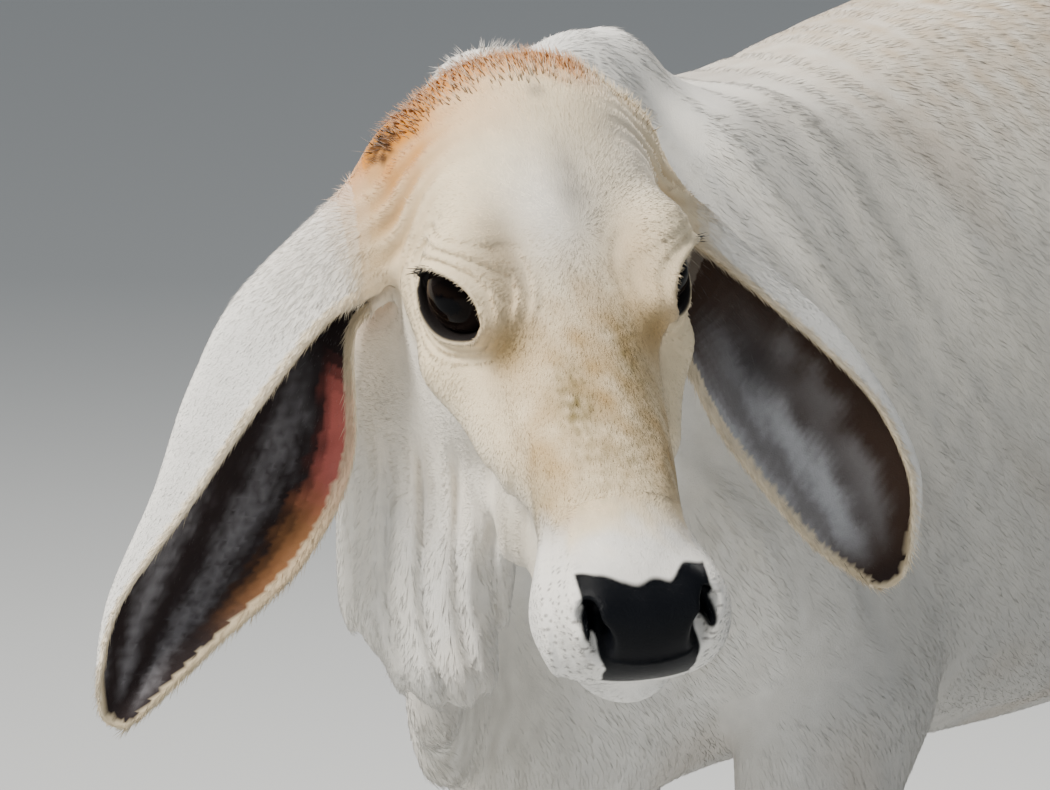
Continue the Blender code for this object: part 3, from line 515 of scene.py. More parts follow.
# A row runs round the ear from its front edge over the outside fold and the back wall to the lower edge.
EARS = {
    "right": [
        [(-6.7, -2.6, 4.7), (-5.6, -2.2, 10.9), (-5.8, -0.2, 7.8), (-6.5, -1.6, 4.2)],
        [(-8.9, -4.2, 3.2), (-12.2, -3.0, 5.0), (-10.0, -0.4, 4.2), (-7.7, -2.0, 2.6)],
        [(-12.0, -4.2, -0.7), (-14.8, -2.8, 0.5), (-11.7, 0.2, -0.9), (-7.8, -1.4, -3.0)],
        [(-15.0, -3.8, -5.0), (-16.4, -2.8, -4.3), (-13.8, -0.3, -5.6), (-10.0, -1.6, -7.5)],
        [(-18.0, -3.2, -9.2), (-18.3, -2.5, -8.9), (-16.3, -1.0, -10.0), (-13.9, -1.8, -11.2)],
        [(-18.9, -2.8, -12.4), (-18.9, -2.4, -12.2), (-17.7, -1.7, -12.9), (-16.4, -2.1, -13.6)],
        [(-18.9, -2.5, -13.8), (-18.8, -2.3, -14.3), (-18.4, -2.2, -14.65), (-17.8, -2.2, -14.8)],
    ],
    "left": [
        [(6.4, -0.2, 8.0), (5.6, 1.0, 10.0), (5.8, 2.6, 7.1), (5.8, 0.8, 4.2)],
        [(10.7, 0.2, 4.4), (11.6, 1.6, 5.0), (9.4, 3.2, 3.3), (7.1, 1.4, 1.7)],
        [(13.4, 1.0, 2.1), (14.1, 2.2, 2.6), (11.2, 3.8, 0.4), (8.6, 2.0, -1.3)],
        [(15.8, 1.9, -0.4), (16.1, 2.8, -0.3), (13.4, 4.2, -2.2), (10.7, 2.6, -4.1)],
        [(17.3, 2.6, -3.6), (17.5, 3.2, -3.4), (15.2, 4.2, -5.0), (13.0, 3.2, -6.7)],
        [(17.4, 3.1, -6.3), (17.5, 3.5, -6.3), (16.2, 3.9, -7.1), (14.8, 3.5, -8.0)],
        [(17.2, 3.3, -7.5), (17.0, 3.5, -8.0), (16.5, 3.6, -8.5), (15.8, 3.5, -8.6)],
    ],
}


def ear_sheet(name, rows, columns):
    """The middle surface of an ear as a grid of points."""
    table = np.array(EARS[name], float)
    along = flowing(table.reshape(len(table), -1), rows).reshape(rows, 4, 3)
    grid = np.stack([flowing(row, columns) for row in along])
    return grid @ turned(FACE_TURN).T + FACE_AT


# The step of the skin's net, and half the thickness of the ears in the skin
SKIN_STEP = 0.26
THIN_EAR = 0.13
SHIFT = np.array([*ORIGIN, 0.0])
TO_HEAD = head_turn()


def in_head(points):
    """Points in the head's own frame."""
    return (points - SKULL_AT) @ TO_HEAD


def rise(x, low, high):
    """0 below low, 1 above high, and a smooth step between."""
    t = np.clip((x - low) / (high - low), 0, 1)
    return t * t * (3 - 2 * t)


def spot(points, centre, radii):
    """A soft round patch: 1 at its centre, falling off over its radii."""
    return np.exp(-(((points - np.array(centre)) / np.array(radii)) ** 2).sum(axis=1))


def smooth_noise(points, size, seed):
    """Gentle random variation of about that size, from -1 to 1."""
    draw = np.random.default_rng(seed)
    total = np.zeros(len(points))
    for _ in range(7):
        way = unit(draw.normal(size=3)) / size
        total += np.sin(points @ way * 2 * math.pi * draw.uniform(0.6, 1.5) + draw.uniform(0, 7))
    return total / 4.5


class Ear:
    """An ear's middle sheet, for how far points are from it, which side they are on and where along it."""

    def __init__(self, name, rows=64, columns=36):
        grid = ear_sheet(name, rows, columns)
        self.shape = (rows, columns)
        points = grid.reshape(-1, 3)
        faces = [
            (r * columns + c, r * columns + c + 1, (r + 1) * columns + c + 1, (r + 1) * columns + c)
            for r, c in itertools.product(range(rows - 1), range(columns - 1))
        ]
        self.tree = BVHTree.FromPolygons([tuple(p) for p in points], faces)
        self.root = grid[0].mean(axis=0)
        self.low, self.high = points.min(axis=0) - 2.5, points.max(axis=0) + 2.5

    def nearest(self, points):
        """For each point: how far the sheet is, the place along and across the ear, and its side, 1 or -1."""
        far = np.full(len(points), FAR)
        along, across, side = np.zeros((3, len(points)))
        close = ((points > self.low) & (points < self.high)).all(axis=1)
        for i in np.nonzero(close)[0]:
            point = Vector(points[i])
            foot, normal, face, far[i] = self.tree.find_nearest(point)
            row, column = divmod(face, self.shape[1] - 1)
            along[i], across[i] = row / (self.shape[0] - 2), column / (self.shape[1] - 2)
            side[i] = normal.dot((point - foot) / max(far[i], 1e-6))
        return far, along, across, side

    def from_root(self, points):
        """How far points are from where the ear grows."""
        return np.linalg.norm(points - self.root, axis=1)


EAR_SHEETS = {name: Ear(name) for name in EARS}


class Flesh:
    """The whole skin: the clay with the ears grown on, drawn in by the depth of the coat.

    While the skin is first netted the ears are kept thicker than a step of the net, so that it has no holes.
    """

    def __init__(self):
        self.clay = calf_clay()
        self.least_ear = SKIN_STEP

    def distance(self, points):
        order = np.argsort(points[:, 1], kind="stable")
        found = np.empty(len(points))
        found[order] = self.sorted_distance(points[order])
        return found

    def sorted_distance(self, points):
        found = self.clay.distance(points) + coat_depth(points) - relief(points)
        for sheet in EAR_SHEETS.values():
            reach = sheet.from_root(points)
            half = THIN_EAR + 0.35 * np.exp(-((reach / 3.2) ** 2))
            shell = sheet.nearest(points)[0] - np.maximum(half, self.least_ear)
            found = pressed(found, shell, 0.1 + 1.5 * (1 - rise(reach, 2.5, 6.0)))
        return found


def coat_depth(points):
    """How far the skin lies under the outside of the coat."""
    local = in_head(points)
    on_head = rise(-local[:, 1], -2, 3) * rise(local[:, 2], -12, -9)
    return 0.12 - 0.08 * on_head - 0.04 * rise(-points[:, 2], -40, -30)


def relief(points):
    """Wrinkles round the eyes and loose folds on the neck and shoulder, as a height over the clay."""
    height = np.zeros(len(points))
    local = in_head(points)
    near_head = np.abs(local).max(axis=1) < 34
    parts = (
        (near_head, head_relief, local),
        (points[:, 1] > -45, body_relief, points),
        (points[:, 2] < 69, throat_relief, points),
    )
    for where, folds, places in parts:
        if where.any():
            height[where] += folds(places[where])
    return height


def head_relief(local):
    """The lids and the folds round the eyes, the folds in front of the ears, and veins down the cheeks."""
    height = np.zeros(len(local))
    for side in (1, -1):
        a, b, out = seen_by_eye(local, side).T
        gap = almond(side).distance(local)
        front = rise(out, -0.4, 0.8) * (np.hypot(a, b) < 4.5)
        height += 0.17 * front * np.exp(-(((gap - 0.3) / 0.2) ** 2)) * (1 + 0.5 * rise(b, 0, 0.8))
        folds = wave(gap - 0.35, 0.47, 0.5 * np.sin(a * 1.1))
        above = rise(b, -0.2, 0.8) * rise(gap, 0.45, 0.7) * (1 - rise(gap, 1.2, 2.4))
        height += 0.03 * (2 - side) * folds * above * rise(out, -2.2, -0.6)
        below = rise(-b, 0.2, 1.0) * rise(gap, 0.4, 0.6) * (1 - rise(gap, 0.9, 1.7))
        height += 0.06 * folds * below * rise(out, -1.6, -0.2)
        height += 0.2 * ear_creases(local) * spot(local, (5.5 * side, -4.2, 1.0), (2.5, 2.0, 3.8))
        for start, end, size in VEINS:
            height += 0.15 * ridge(local, start, end, size, side)
    return height


def wave(place, length, shift=0.0):
    """Even waves of that length along a place, from 0 to 1."""
    return 0.5 + 0.5 * np.cos(place * 2 * math.pi / length + shift)


def ear_creases(local):
    """Upright folds of skin between the eye and the ear, from 0 to 1."""
    x, y, z = local.T
    return 0.5 + 0.5 * np.sin(y * 2 * math.pi / 0.95 + 0.7 * np.sin(z * 1.1) + 0.8 + 0.25 * np.abs(x))


# Raised lines under the skin of the cheek, each from one place to another, and how wide it is
VEINS = (
    ((3.3, -13.4, 1.8), (2.7, -19.4, -0.2), 0.26),
    ((2.8, -17.0, 0.9), (2.3, -21.4, 1.2), 0.22),
    ((2.9, -19.0, -0.4), (3.2, -22.4, -1.8), 0.2),
    ((4.6, -12.4, -1.6), (3.3, -18.6, -3.0), 0.34),
)


def ridge(points, start, end, size, side):
    """A soft raised line on one side of the head."""
    start, end = (np.array(p) * (side, 1, 1) for p in (start, end))
    run = end - start
    along = np.clip((points - start) @ run / run.dot(run), 0, 1)
    far = np.linalg.norm(points - start - along[:, None] * run, axis=1)
    return np.exp(-((far / (size + 0.45)) ** 2)) * (1 - 0.4 * np.abs(2 * along - 1))


def shoulder_folds(points):
    """(where the folds of the shoulder run, the place across them)."""
    x, y, z = points.T
    where = np.exp(-(((y + 20) / 9) ** 2)) * rise(z, 50, 58)
    return where, y * 0.75 + z * 0.45 + 0.9 * np.sin(z * 0.23 + y * 0.11)


def body_relief(points):
    """Slanting folds of loose skin from the neck over the shoulder."""
    where, place = shoulder_folds(points)
    folds = np.cos(place * 2 * math.pi / 3.1) + 0.5 * np.cos(place * 2 * math.pi / 1.7 + 1.0)
    return 0.1 * folds * where


def throat_relief(points):
    """Hanging folds in the loose skin under the jaw and along the dewlap."""
    across, away, up = ((points - FACE_AT) @ turned(FACE_TURN)).T
    where = rise(-up, 1.0, 4.0) * (1 - rise(-up, 19, 24))
    where = where * (1 - rise(across, 1.0, 3.0)) * (1 - rise(away, 7, 12))
    place = (across + 0.12 * up + 0.35 * np.sin(up * 0.5)) * 2 * math.pi
    return 0.12 * where * (np.cos(place / 1.5) + 0.4 * np.cos(place / 0.8 + 1))


def settle(points, field, rounds=2):
    """Moves points on to the surface of the field."""
    for _ in range(rounds):
        here = field.distance(points)
        slope = np.stack([field.distance(points + step) - here for step in np.eye(3) * 0.05], axis=1) / 0.05
        size = (slope**2).sum(axis=1, keepdims=True)
        points = points - np.clip(here, -0.3, 0.3)[:, None] * slope / np.maximum(size, 0.3)
    return points


def finer(mesh, wanted):
    """Splits each face whose middle passes the test into four, keeping the skin whole."""
    work = bmesh.new()
    work.from_mesh(mesh)
    work.faces.ensure_lookup_table()
    middles = np.array([face.calc_center_median() for face in work.faces])
    chosen = wanted(middles)
    edges = {edge for face, yes in zip(work.faces, chosen) if yes for edge in face.edges}
    bmesh.ops.subdivide_edges(work, edges=list(edges), cuts=1, use_grid_fill=True)
    bmesh.ops.triangulate(work, faces=[face for face in work.faces if len(face.verts) > 4])
    work.to_mesh(mesh)
    work.free()


def vectors(mesh, field):
    """The places ("co") or the normals ("normal") of a mesh's points."""
    flat = np.empty(len(mesh.vertices) * 3)
    mesh.vertices.foreach_get(field, flat)
    return flat.reshape(-1, 3)


def mesh_of(name, points, faces):
    """A mesh from arrays, where every face has the same number of corners."""
    mesh = bpy.data.meshes.new(name)
    mesh.vertices.add(len(points))
    mesh.vertices.foreach_set("co", points.ravel())
    mesh.loops.add(faces.size)
    mesh.loops.foreach_set("vertex_index", faces.ravel())
    mesh.polygons.add(len(faces))
    mesh.polygons.foreach_set("loop_start", np.arange(len(faces)) * faces.shape[1])
    mesh.update(calc_edges=True)
    return mesh


def added(name, data):
    """A new object in the scene."""
    thing = bpy.data.objects.new(name, data)
    bpy.context.scene.collection.objects.link(thing)
    return thing


def on_face(points):
    """The front of the head, where the skin is drawn finely."""
    x, y, z = in_head(points).T
    return (y < -1) & (z > -10) & (y > -34) & (np.abs(x) < 9)


def round_features(points):
    """The eyes, nose and mouth, where it is drawn finest."""
    local = in_head(points)
    x, y, z = local.T
    eyes = [np.linalg.norm(local - eye_place(side), axis=1) < 3.4 for side in (1, -1)]
    return eyes[0] | eyes[1] | ((y < -24.5) & (y > -34) & (z > -9))


def whole_skin(field):
    """The one skin of the calf as a mesh in centimetres."""
    low, high = np.array([-21.0, -67.0, 1.5]), np.array([40.0, 52.0, 88.0])
    mesh = mesh_of("skin", *netted(sampled(field, low, high, SKIN_STEP), low, SKIN_STEP))
    mesh.validate()
    finer(mesh, on_face)
    finer(mesh, round_features)
    field.least_ear = 0.0
    mesh.vertices.foreach_set("co", settle(vectors(mesh, "co"), field).ravel())
    work = bmesh.new()
    work.from_mesh(mesh)
    bmesh.ops.recalc_face_normals(work, faces=work.faces)
    work.to_mesh(mesh)
    work.free()
    return mesh


# Colours of the coat and the bare skin
CREAM = (0.84, 0.69, 0.46)
WHITE = (0.86, 0.84, 0.80)
TAN = (0.46, 0.29, 0.12)
OLIVE = (0.20, 0.15, 0.06)
GINGER = (0.58, 0.22, 0.02)
DARK_BROWN = (0.05, 0.02, 0.008)
GREY = (0.17, 0.155, 0.14)
BODY_PALE = (0.70, 0.66, 0.58)
BODY_GREY = (0.34, 0.34, 0.34)
EAR_DARK = (0.022, 0.015, 0.015)
EAR_RIDGE = (0.2, 0.19, 0.2)
UMBER = (0.07, 0.04, 0.025)
FUZZ = (0.5, 0.5, 0.52)
PINK = (0.66, 0.17, 0.14)
RUST = (0.34, 0.15, 0.06)
BLACK = (0.0025, 0.003, 0.0045)
LID = (0.009, 0.007, 0.0065)
EYE_WHITE = (0.02, 0.013, 0.011)
IRIS = (0.006, 0.0035, 0.0025)
PUPIL = (0.001, 0.001, 0.0015)
SWITCH_PALE = (0.42, 0.33, 0.22)
SWITCH_BROWN = (0.06, 0.042, 0.03)
SWITCH_DARK = (0.03, 0.023, 0.02)

# Soft marks on the head, in the order they are laid on: the colour, how strong, the middle, the size and
# the grain that breaks them up. The side marks are on both sides, given for the left.
TOP_MARKS = (
    (WHITE, 0.7, (-0.5, -9.0, 6.0), (2.6, 3.4, 4.0), "even"),
    (WHITE, 0.5, (4.0, -6.0, 4.0), (2.0, 3.5, 3.0), "even"),
    (TAN, 0.8, (0.4, -16.0, 3.0), (3.1, 5.0, 2.4), "soft"),
    (OLIVE, 0.85, (-1.1, -17.4, 2.4), (0.9, 1.9, 2.0), "fine"),
    (OLIVE, 0.6, (1.9, -15.2, 2.4), (1.0, 4.2, 2.0), "fine"),
    (OLIVE, 0.4, (0.2, -20.6, 2.0), (2.4, 1.9, 2.0), "speckled"),
)
SIDE_MARKS = (
    (TAN, 0.85, (3.4, -13.8, 2.4), (1.4, 1.6, 1.6), "even"),
    (OLIVE, 0.45, (3.2, -13.6, 2.4), (0.7, 0.9, 1.2), "even"),
    # Tan in front of the ear, laid in the troughs of the creases: partly the tan of the coat, partly painted
    # shade in the creases.
    (TAN, 0.75, (5.5, -4.2, 1.0), (2.3, 1.8, 3.6), "crease_shaded"),
    (TAN, 0.75, (2.7, -19.6, 0.8), (1.1, 3.2, 1.6), "soft"),
    (TAN, 0.5, (4.6, -3.2, -5.0), (3.0, 3.0, 4.0), "even"),
    (TAN, 0.4, (3.0, -10.4, 4.6), (1.2, 2.4, 1.6), "even"),
    (OLIVE, 0.4, (3.0, -17.6, -5.8), (1.8, 3.4, 1.6), "even"),
    (OLIVE, 0.5, (3.2, -20.4, -1.6), (1.0, 1.4, 2.2), "even"),
)
WHORL_MARKS = (
    (GREY, 0.5, (0.7, -7.6, 5.8), (0.8, 2.2, 3.0), "faint"),
    (GREY, 0.8, (0.2, -2.9, 5.6), (0.4, 0.5, 2.0), "even"),
)
POLL_MARKS = ((GINGER, 0.9, (-5.2, -1.9, 2.8), (2.0, 2.2, 3.2), "rough"),)

# Which side of each ear's sheet is the hollow
HOLLOW = {"left": 1, "right": -1}
# Below this height the coat is that of the legs.
LEG_TOP = 46.0


def mixed(colour, other, share):
    """Moves the colours towards another one by a share for each point."""
    share = np.clip(share, 0, 1)[:, None]
    return colour * (1 - share) + np.array(other) * share


def nose_share(local):
    """1 on the bare black nose pad, 0 off it: wide at the nostrils, narrow over the lip."""
    x, y, z = local.T
    half = 2.0 + 0.1 * (z + 3.5) + 0.5 * rise(z, -1.3, -0.5)
    half = half + 0.08 * np.sin(z * 3.1 + np.sign(x)) + 0.05 * np.sin(z * 7.0)
    over = np.degrees(np.arctan2(z + 0.5, -24.5 - y))
    top = 35 + 12 * rise(np.abs(x), 1.0, 2.0) + 2 * np.sin(x * 4.0)
    share = rise(half - np.abs(x), -0.07, 0.07) * (1 - rise(over, top - 3, top + 3))
    return share * rise(z, -3.2, -3.0) * (y < -25.2)


def muzzle_dots(local, size=0.42):
    """Small dark spots where the whiskers grow on the white lips, one in each cell of that size."""
    x, y, z = local.T
    rows = np.floor(z / size)
    place = (y + 0.31 * rows) / size
    columns = np.floor(place)
    across = place - columns - 0.5 + 0.22 * np.sin(rows * 12.9 + columns * 78.2 + np.sign(x) * 3)
    up = z / size - rows - 0.5 + 0.2 * np.sin(rows * 41.3 + columns * 17.7)
    where = rise(-y, 22.8, 24.6) * rise(-z, -1.0, 0.2) * rise(np.abs(x), 1.2, 2.0)
    return (1 - rise(np.hypot(across, up), 0.1, 0.26)) * where


def lid_share(local, side):
    """1 on the dark bare rim of the lids, drawn out into the inner corner of the eye."""
    a, b, out = seen_by_eye(local, side).T
    rim = 1 - rise(np.abs(almond(side).distance(local)), 0.12, 0.3)
    corner = rise(spot_at(a, b, (-2.45, -0.15), (0.55, 0.2)), 0.3, 0.6) * (out > -1)
    return np.maximum(rim, corner) * (np.linalg.norm(local - eye_place(side), axis=1) < 3.6)


def painted(points):
    """The colour at each point, how wet it is and how bare of hair."""
    local = in_head(points)
    rough, fine, broad = (smooth_noise(points, *grain) for grain in ((1.3, 3), (0.45, 4), (9.0, 5)))
    head_part = rise(-local[:, 1], -3.5, -0.5) * rise(local[:, 2], -11.5, -8)
    share = head_part[:, None]
    colour = body_colour(points, rough, broad) * (1 - share) + head_colour(local, rough, fine) * share
    wet = nose_share(local) * head_part
    bare = wet.copy()
    colour = mixed(colour, BLACK, wet)
    for side in (1, -1):
        rim = lid_share(local, side)
        colour = mixed(colour, LID, rim)
        bare = np.maximum(bare, rim)
        wet = np.maximum(wet, 0.15 * rim)
        nostril = spot(local, (2.45 * side, -28.0, -0.25), (0.7, 1.8, 0.75))
        colour = mixed(colour, BLACK, rise(nostril, 0.35, 0.6))
    for name, sheet in EAR_SHEETS.items():
        colour, ear_bare = ear_colour(name, sheet, points, colour, rough, fine)
        bare = np.maximum(bare, ear_bare)
    return np.clip(colour, 0, 1), wet, bare


def body_colour(points, rough, broad):
    """Pale grey-white, tan along the back, with soft patches. Painted shade makes it greyer low on the trunk,
    olive on the lower chest and grey in the troughs of the shoulder folds, and a painted highlight whitens
    the top of the hump.
    """
    x, y, z = points.T
    folds, place = shoulder_folds(points)
    back = rise(z, 72, 82) * rise(y, -20, -8)
    # Where painted shade lies olive on the lower front of the chest.
    chest = rise(-y, 26, 34) * rise(-z, -58, -50)
    layers = (
        (BODY_GREY, 0.18 + 0.35 * broad + 0.12 * rough),
        # Painted shade: greyer low on the trunk, behind the chest.
        (BODY_GREY, 0.6 * rise(-z, -68, -50) * rise(y, -34, -18)),
        (TAN, 0.5 * back * (0.7 + 0.6 * rough)),
        (TAN, 0.16 * rise(broad, 0.1, 0.8)),
        (WHITE, 0.55 * rise(-y, 14, 27) * (0.8 + 0.3 * rough)),
        # Painted shade: grey in the troughs of the shoulder folds.
        (BODY_GREY, 0.22 * folds * (1 - wave(place, 3.1))),
        # Painted shade: olive on the lower chest.
        (OLIVE, 0.3 * chest * (0.7 + 0.6 * rough)),
        (WHITE, 0.5 * rise(-z, -40, -30)),
        (BODY_GREY, 0.5 * rise(-z, -12, -6)),
        # Painted highlight: white on the top of the hump.
        (WHITE, 0.75 * spot(points, (0.4, -25.5, 82), (4, 7, 4))),
    )
    return layered(BODY_PALE, layers, len(points))


def layered(ground, layers, count):
    """Layers of colour over a ground, each with its share at every point."""
    colour = np.tile(ground, (count, 1))
    for tint, share in layers:
        colour = mixed(colour, tint, share)
    return colour


def marks_at(local, marks, grains, side=1):
    """The marks as layers, mirrored to the right where side is -1."""
    return [
        (tint, strength * spot(local, np.array(middle) * (side, 1, 1), size) * grains[grain])
        for tint, strength, middle, size, grain in marks
    ]


def head_colour(local, rough, fine):
    """Cream, with a white muzzle, a tan bridge, ginger on the poll and darker marks."""
    x, y, z = local.T
    grains = {
        "even": 1.0,
        "soft": 0.8 + 0.5 * rough,
        "faint": 0.9 + 0.3 * rough,
        "rough": 0.85 + 0.5 * rough,
        "fine": 0.8 + 0.6 * fine,
        "speckled": 0.7 + 0.8 * fine,
        # Darker in the troughs of the creases before the ears: painted shade.
        "crease_shaded": 1 - ear_creases(local),
    }
    crown = rise(y + 0.3 * rough + 0.25 * np.abs(x + 1.5), -2.4, 0.4) * rise(z + 0.2 * np.abs(x), 0.5, 3.0)
    forehead = rise(-y, -1.0, 1.0) * (1 - rise(-y, 3.0, 6.0)) * rise(-x, -1, 3)
    whirl = spot(local, (-5.9, -1.5, 2.2), (1.0, 1.0, 1.7)) * (1 + 0.5 * fine)
    layers = [
        (WHITE, 0.9 * rise(-y + 0.7 * rough + 2.6 * rise(-z, -0.8, 0.8), 22.2, 25.2)),
        (WHITE, 0.65 * rise(-z, 0.5, 4)),
        *marks_at(local, TOP_MARKS, grains),
        *marks_at(local, SIDE_MARKS, grains),
        *marks_at(local, SIDE_MARKS, grains, -1),
        (GREY, 0.7 * muzzle_dots(local)),
        *marks_at(local, WHORL_MARKS, grains),
        (GINGER, 0.95 * crown * (1 - rise(x, 2.2, 4.2))),
        *marks_at(local, POLL_MARKS, grains),
        (GINGER, 0.3 * forehead),
        (DARK_BROWN, 0.9 * rise(whirl, 0.3, 0.8)),
    ]
    return layered(CREAM, layers, len(local))


def ear_colour(name, sheet, points, colour, rough, fine):
    """Dark inside the cup with paler ridges, white outside, and a pale rim; on the left ear, painted shade
    darkens a spot deep in the cup.
    """
    far, along, across, side = sheet.nearest(points)
    here = (1 - rise(far, 0.5, 1.0)) * rise(along, 0.02, 0.08)
    inside = rise(side * HOLLOW[name], 0.05, 0.5)
    ridges = 0.5 + 0.5 * np.sin(across * 24 + 2.0 * np.sin(along * 4) + 0.7 * rough)
    if name == "right":
        middle = rise(along, 0.15, 0.4) * (1 - rise(along, 0.8, 1.0))
        inner = across + 0.02 * rough
        edge = rise(inner, 0.86, 0.96) * rise(along, 0.34, 0.42) * (1 - rise(along, 0.5, 0.68))
        flush = rise(inner, 0.86, 0.95) * rise(along, 0.2, 0.26) * (1 - rise(along, 0.34, 0.46))
        layers = [
            (EAR_RIDGE, ridges**2 * middle * (0.75 + 0.4 * fine)),
            (RUST, 0.9 * edge),
            (PINK, 0.8 * flush),
        ]
    else:
        down = rise(across + 0.06 * rough, 0.45, 0.8) * rise(along, 0.08, 0.3) * (1 - rise(along, 0.6, 0.9))
        # Painted shade: a dark spot deep in the cup of the ear, at its opening.
        hole = rise(across, 0.5, 0.6) * spot_at(along, across, (0.26, 0.72), (0.1, 0.14))
        layers = [
            (UMBER, 0.5 * rise(across, 0.05, 0.3)),
            (FUZZ, down * (0.35 + 0.6 * ridges)),
            (EAR_DARK, 0.85 * hole),
        ]
    layers.append((EAR_DARK, 0.7 * rise(along, 0.8, 0.98)))
    colour = mixed(colour, WHITE, 0.85 * here * (1 - inside))
    colour = mixed(colour, layered(EAR_DARK, layers, len(points)), here * inside)
    rim = np.maximum(rise(np.abs(across - 0.5), 0.492, 0.5), rise(along, 0.99, 1.0))
    return mixed(colour, CREAM, 0.7 * here * rim), 0.85 * here * inside * (1 - rim)


def spot_at(u, v, middle, size):
    """A soft round patch on a flat map."""
    return np.exp(-(((u - middle[0]) / size[0]) ** 2) - ((v - middle[1]) / size[1]) ** 2)


def attribute(mesh, name, kind, values):
    layer = mesh.attributes.new(name, kind, "POINT")
    field = "color" if kind == "FLOAT_COLOR" else "value"
    layer.data.foreach_set(field, np.ascontiguousarray(values, dtype=np.float32).ravel())


def coloured(mesh, colours, wet):
    attribute(mesh, "tint", "FLOAT_COLOR", np.column_stack([colours, np.ones(len(colours))]))
    attribute(mesh, "wet", "FLOAT", wet)


def region_of(points):
    """Which region each point belongs to: trunk 0, head 1, ears 2 and 3, legs 4 to 7, tail 8."""
    local = in_head(points)
    region = np.zeros(len(points), int)
    region[(local[:, 1] < 0) & (local[:, 2] > -11)] = 1
    for number, sheet in enumerate(EAR_SHEETS.values()):
        box = ((points > sheet.low + 2) & (points < sheet.high - 2)).all(axis=1)
        region[box & (sheet.from_root(points) > 3.0) & (np.abs(local[:, 0]) > 6.3)] = 2 + number
    x, y, z = points.T
    leg = 4 + (x <= 0) + 2 * (y >= 5)
    region[z < LEG_TOP] = leg[z < LEG_TOP]
    region[y > 41] = 8
    return region


# The unwrap has eight cells a side, each with its edge and the room inside it.
CELLS, CELL_EDGE, CELL_ROOM = 8, 0.004, 0.115


def unwrapped(points, normals):
    """A place on the unwrap for each point: each region's six plain views have a cell each."""
    axis = np.abs(normals).argmax(axis=1)
    flipped = normals[np.arange(len(points)), axis] < 0
    cell = region_of(points) * 6 + axis * 2 + flipped
    place = np.zeros((len(points), 2))
    for number in np.unique(cell):
        mine = cell == number
        flat = np.delete(points[mine], number % 6 // 2, axis=1)
        flat = flat - flat.min(axis=0)
        corner = np.array([number % CELLS, number // CELLS]) / CELLS
        place[mine] = corner + CELL_EDGE + flat / max(flat.max(), 1.0) * CELL_ROOM
    return place


def corner_uvs(mesh, places):
    """Writes one place per vertex to the corners of every face."""
    layer = mesh.uv_layers.new(name="OFBake")
    vertex = np.empty(len(mesh.loops), int)
    mesh.loops.foreach_get("vertex_index", vertex)
    layer.data.foreach_set("uv", places[vertex].astype(np.float32).ravel())


def principled(name, values):
    """(a new material, its node tree, its shader), with the shader's plain values set."""
    material = bpy.data.materials.new(name)
    material.use_nodes = True
    shader = material.node_tree.nodes["Principled BSDF"]
    for key, value in values.items():
        shader.inputs[key].default_value = value
    return material, material.node_tree, shader


def node(tree, kind, **values):
    """A new node, with its inputs or its own settings set by name."""
    made = tree.nodes.new(kind)
    for key, value in values.items():
        if key in made.inputs:
            made.inputs[key].default_value = value
        else:
            setattr(made, key, value)
    return made


def linked(tree, *links):
    for start, output, end, entry in links:
        tree.links.new(start.outputs[output], end.inputs[entry])


def hide_material(name, bump_scale, bump_strength, sheen, shine):
    """Hair or bare skin: its colour and wetness come with the mesh, and fine bumps break it up."""
    plain = {"Specular IOR Level": shine, "Sheen Weight": sheen, "Sheen Roughness": 0.5}
    material, tree, shader = principled(name, plain)
    tint = node(tree, "ShaderNodeAttribute", attribute_name="tint")
    wet = node(tree, "ShaderNodeAttribute", attribute_name="wet")
    place = node(tree, "ShaderNodeTexCoord")
    hairs = node(tree, "ShaderNodeTexNoise", Scale=bump_scale, Detail=4.0, Roughness=0.65)
    patches = node(tree, "ShaderNodeTexNoise", Scale=90.0, Detail=3.0, Roughness=0.6)
    shade = node(tree, "ShaderNodeMapRange", **{"To Min": 0.86, "To Max": 1.12})
    times = node(tree, "ShaderNodeVectorMath", operation="SCALE")
    rough = node(tree, "ShaderNodeMapRange", **{"To Min": 0.72, "To Max": 0.24})
    bump = node(tree, "ShaderNodeBump", Strength=bump_strength, Distance=0.0008)
    linked(
        tree,
        (place, "Object", hairs, "Vector"),
        (place, "Object", patches, "Vector"),
        (patches, "Fac", shade, "Value"),
        (tint, "Color", times, "Vector"),
        (shade, "Result", times, "Scale"),
        (times, "Vector", shader, "Base Color"),
        (wet, "Fac", rough, "Value"),
        (rough, "Result", shader, "Roughness"),
        (hairs, "Fac", bump, "Height"),
        (bump, "Normal", shader, "Normal"),
    )
    return material


def eye_material():
    material, tree, shader = principled("eye", {"Roughness": 0.04, "IOR": 1.15})
    tint = node(tree, "ShaderNodeAttribute", attribute_name="tint")
    linked(tree, (tint, "Color", shader, "Base Color"))
    return material


def horn_material():
    """Dark grey horn with a grain that runs round the claw."""
    material, tree, shader = principled("horn", {"Roughness": 0.42})
    place = node(tree, "ShaderNodeTexCoord")
    squeeze = node(tree, "ShaderNodeMapping", Scale=(40, 40, 400))
    grain = node(tree, "ShaderNodeTexNoise", Scale=1.0, Detail=4.0)
    ramp = node(tree, "ShaderNodeValToRGB")
    ramp.color_ramp.elements[0].color = (0.025, 0.022, 0.02, 1)
    ramp.color_ramp.elements[1].color = (0.11, 0.095, 0.08, 1)
    bump = node(tree, "ShaderNodeBump", Strength=0.3, Distance=0.0005)
    linked(
        tree,
        (place, "Object", squeeze, "Vector"),
        (squeeze, "Vector", grain, "Vector"),
        (grain, "Fac", ramp, "Fac"),
        (ramp, "Color", shader, "Base Color"),
        (grain, "Fac", bump, "Height"),
        (bump, "Normal", shader, "Normal"),
    )
    return material


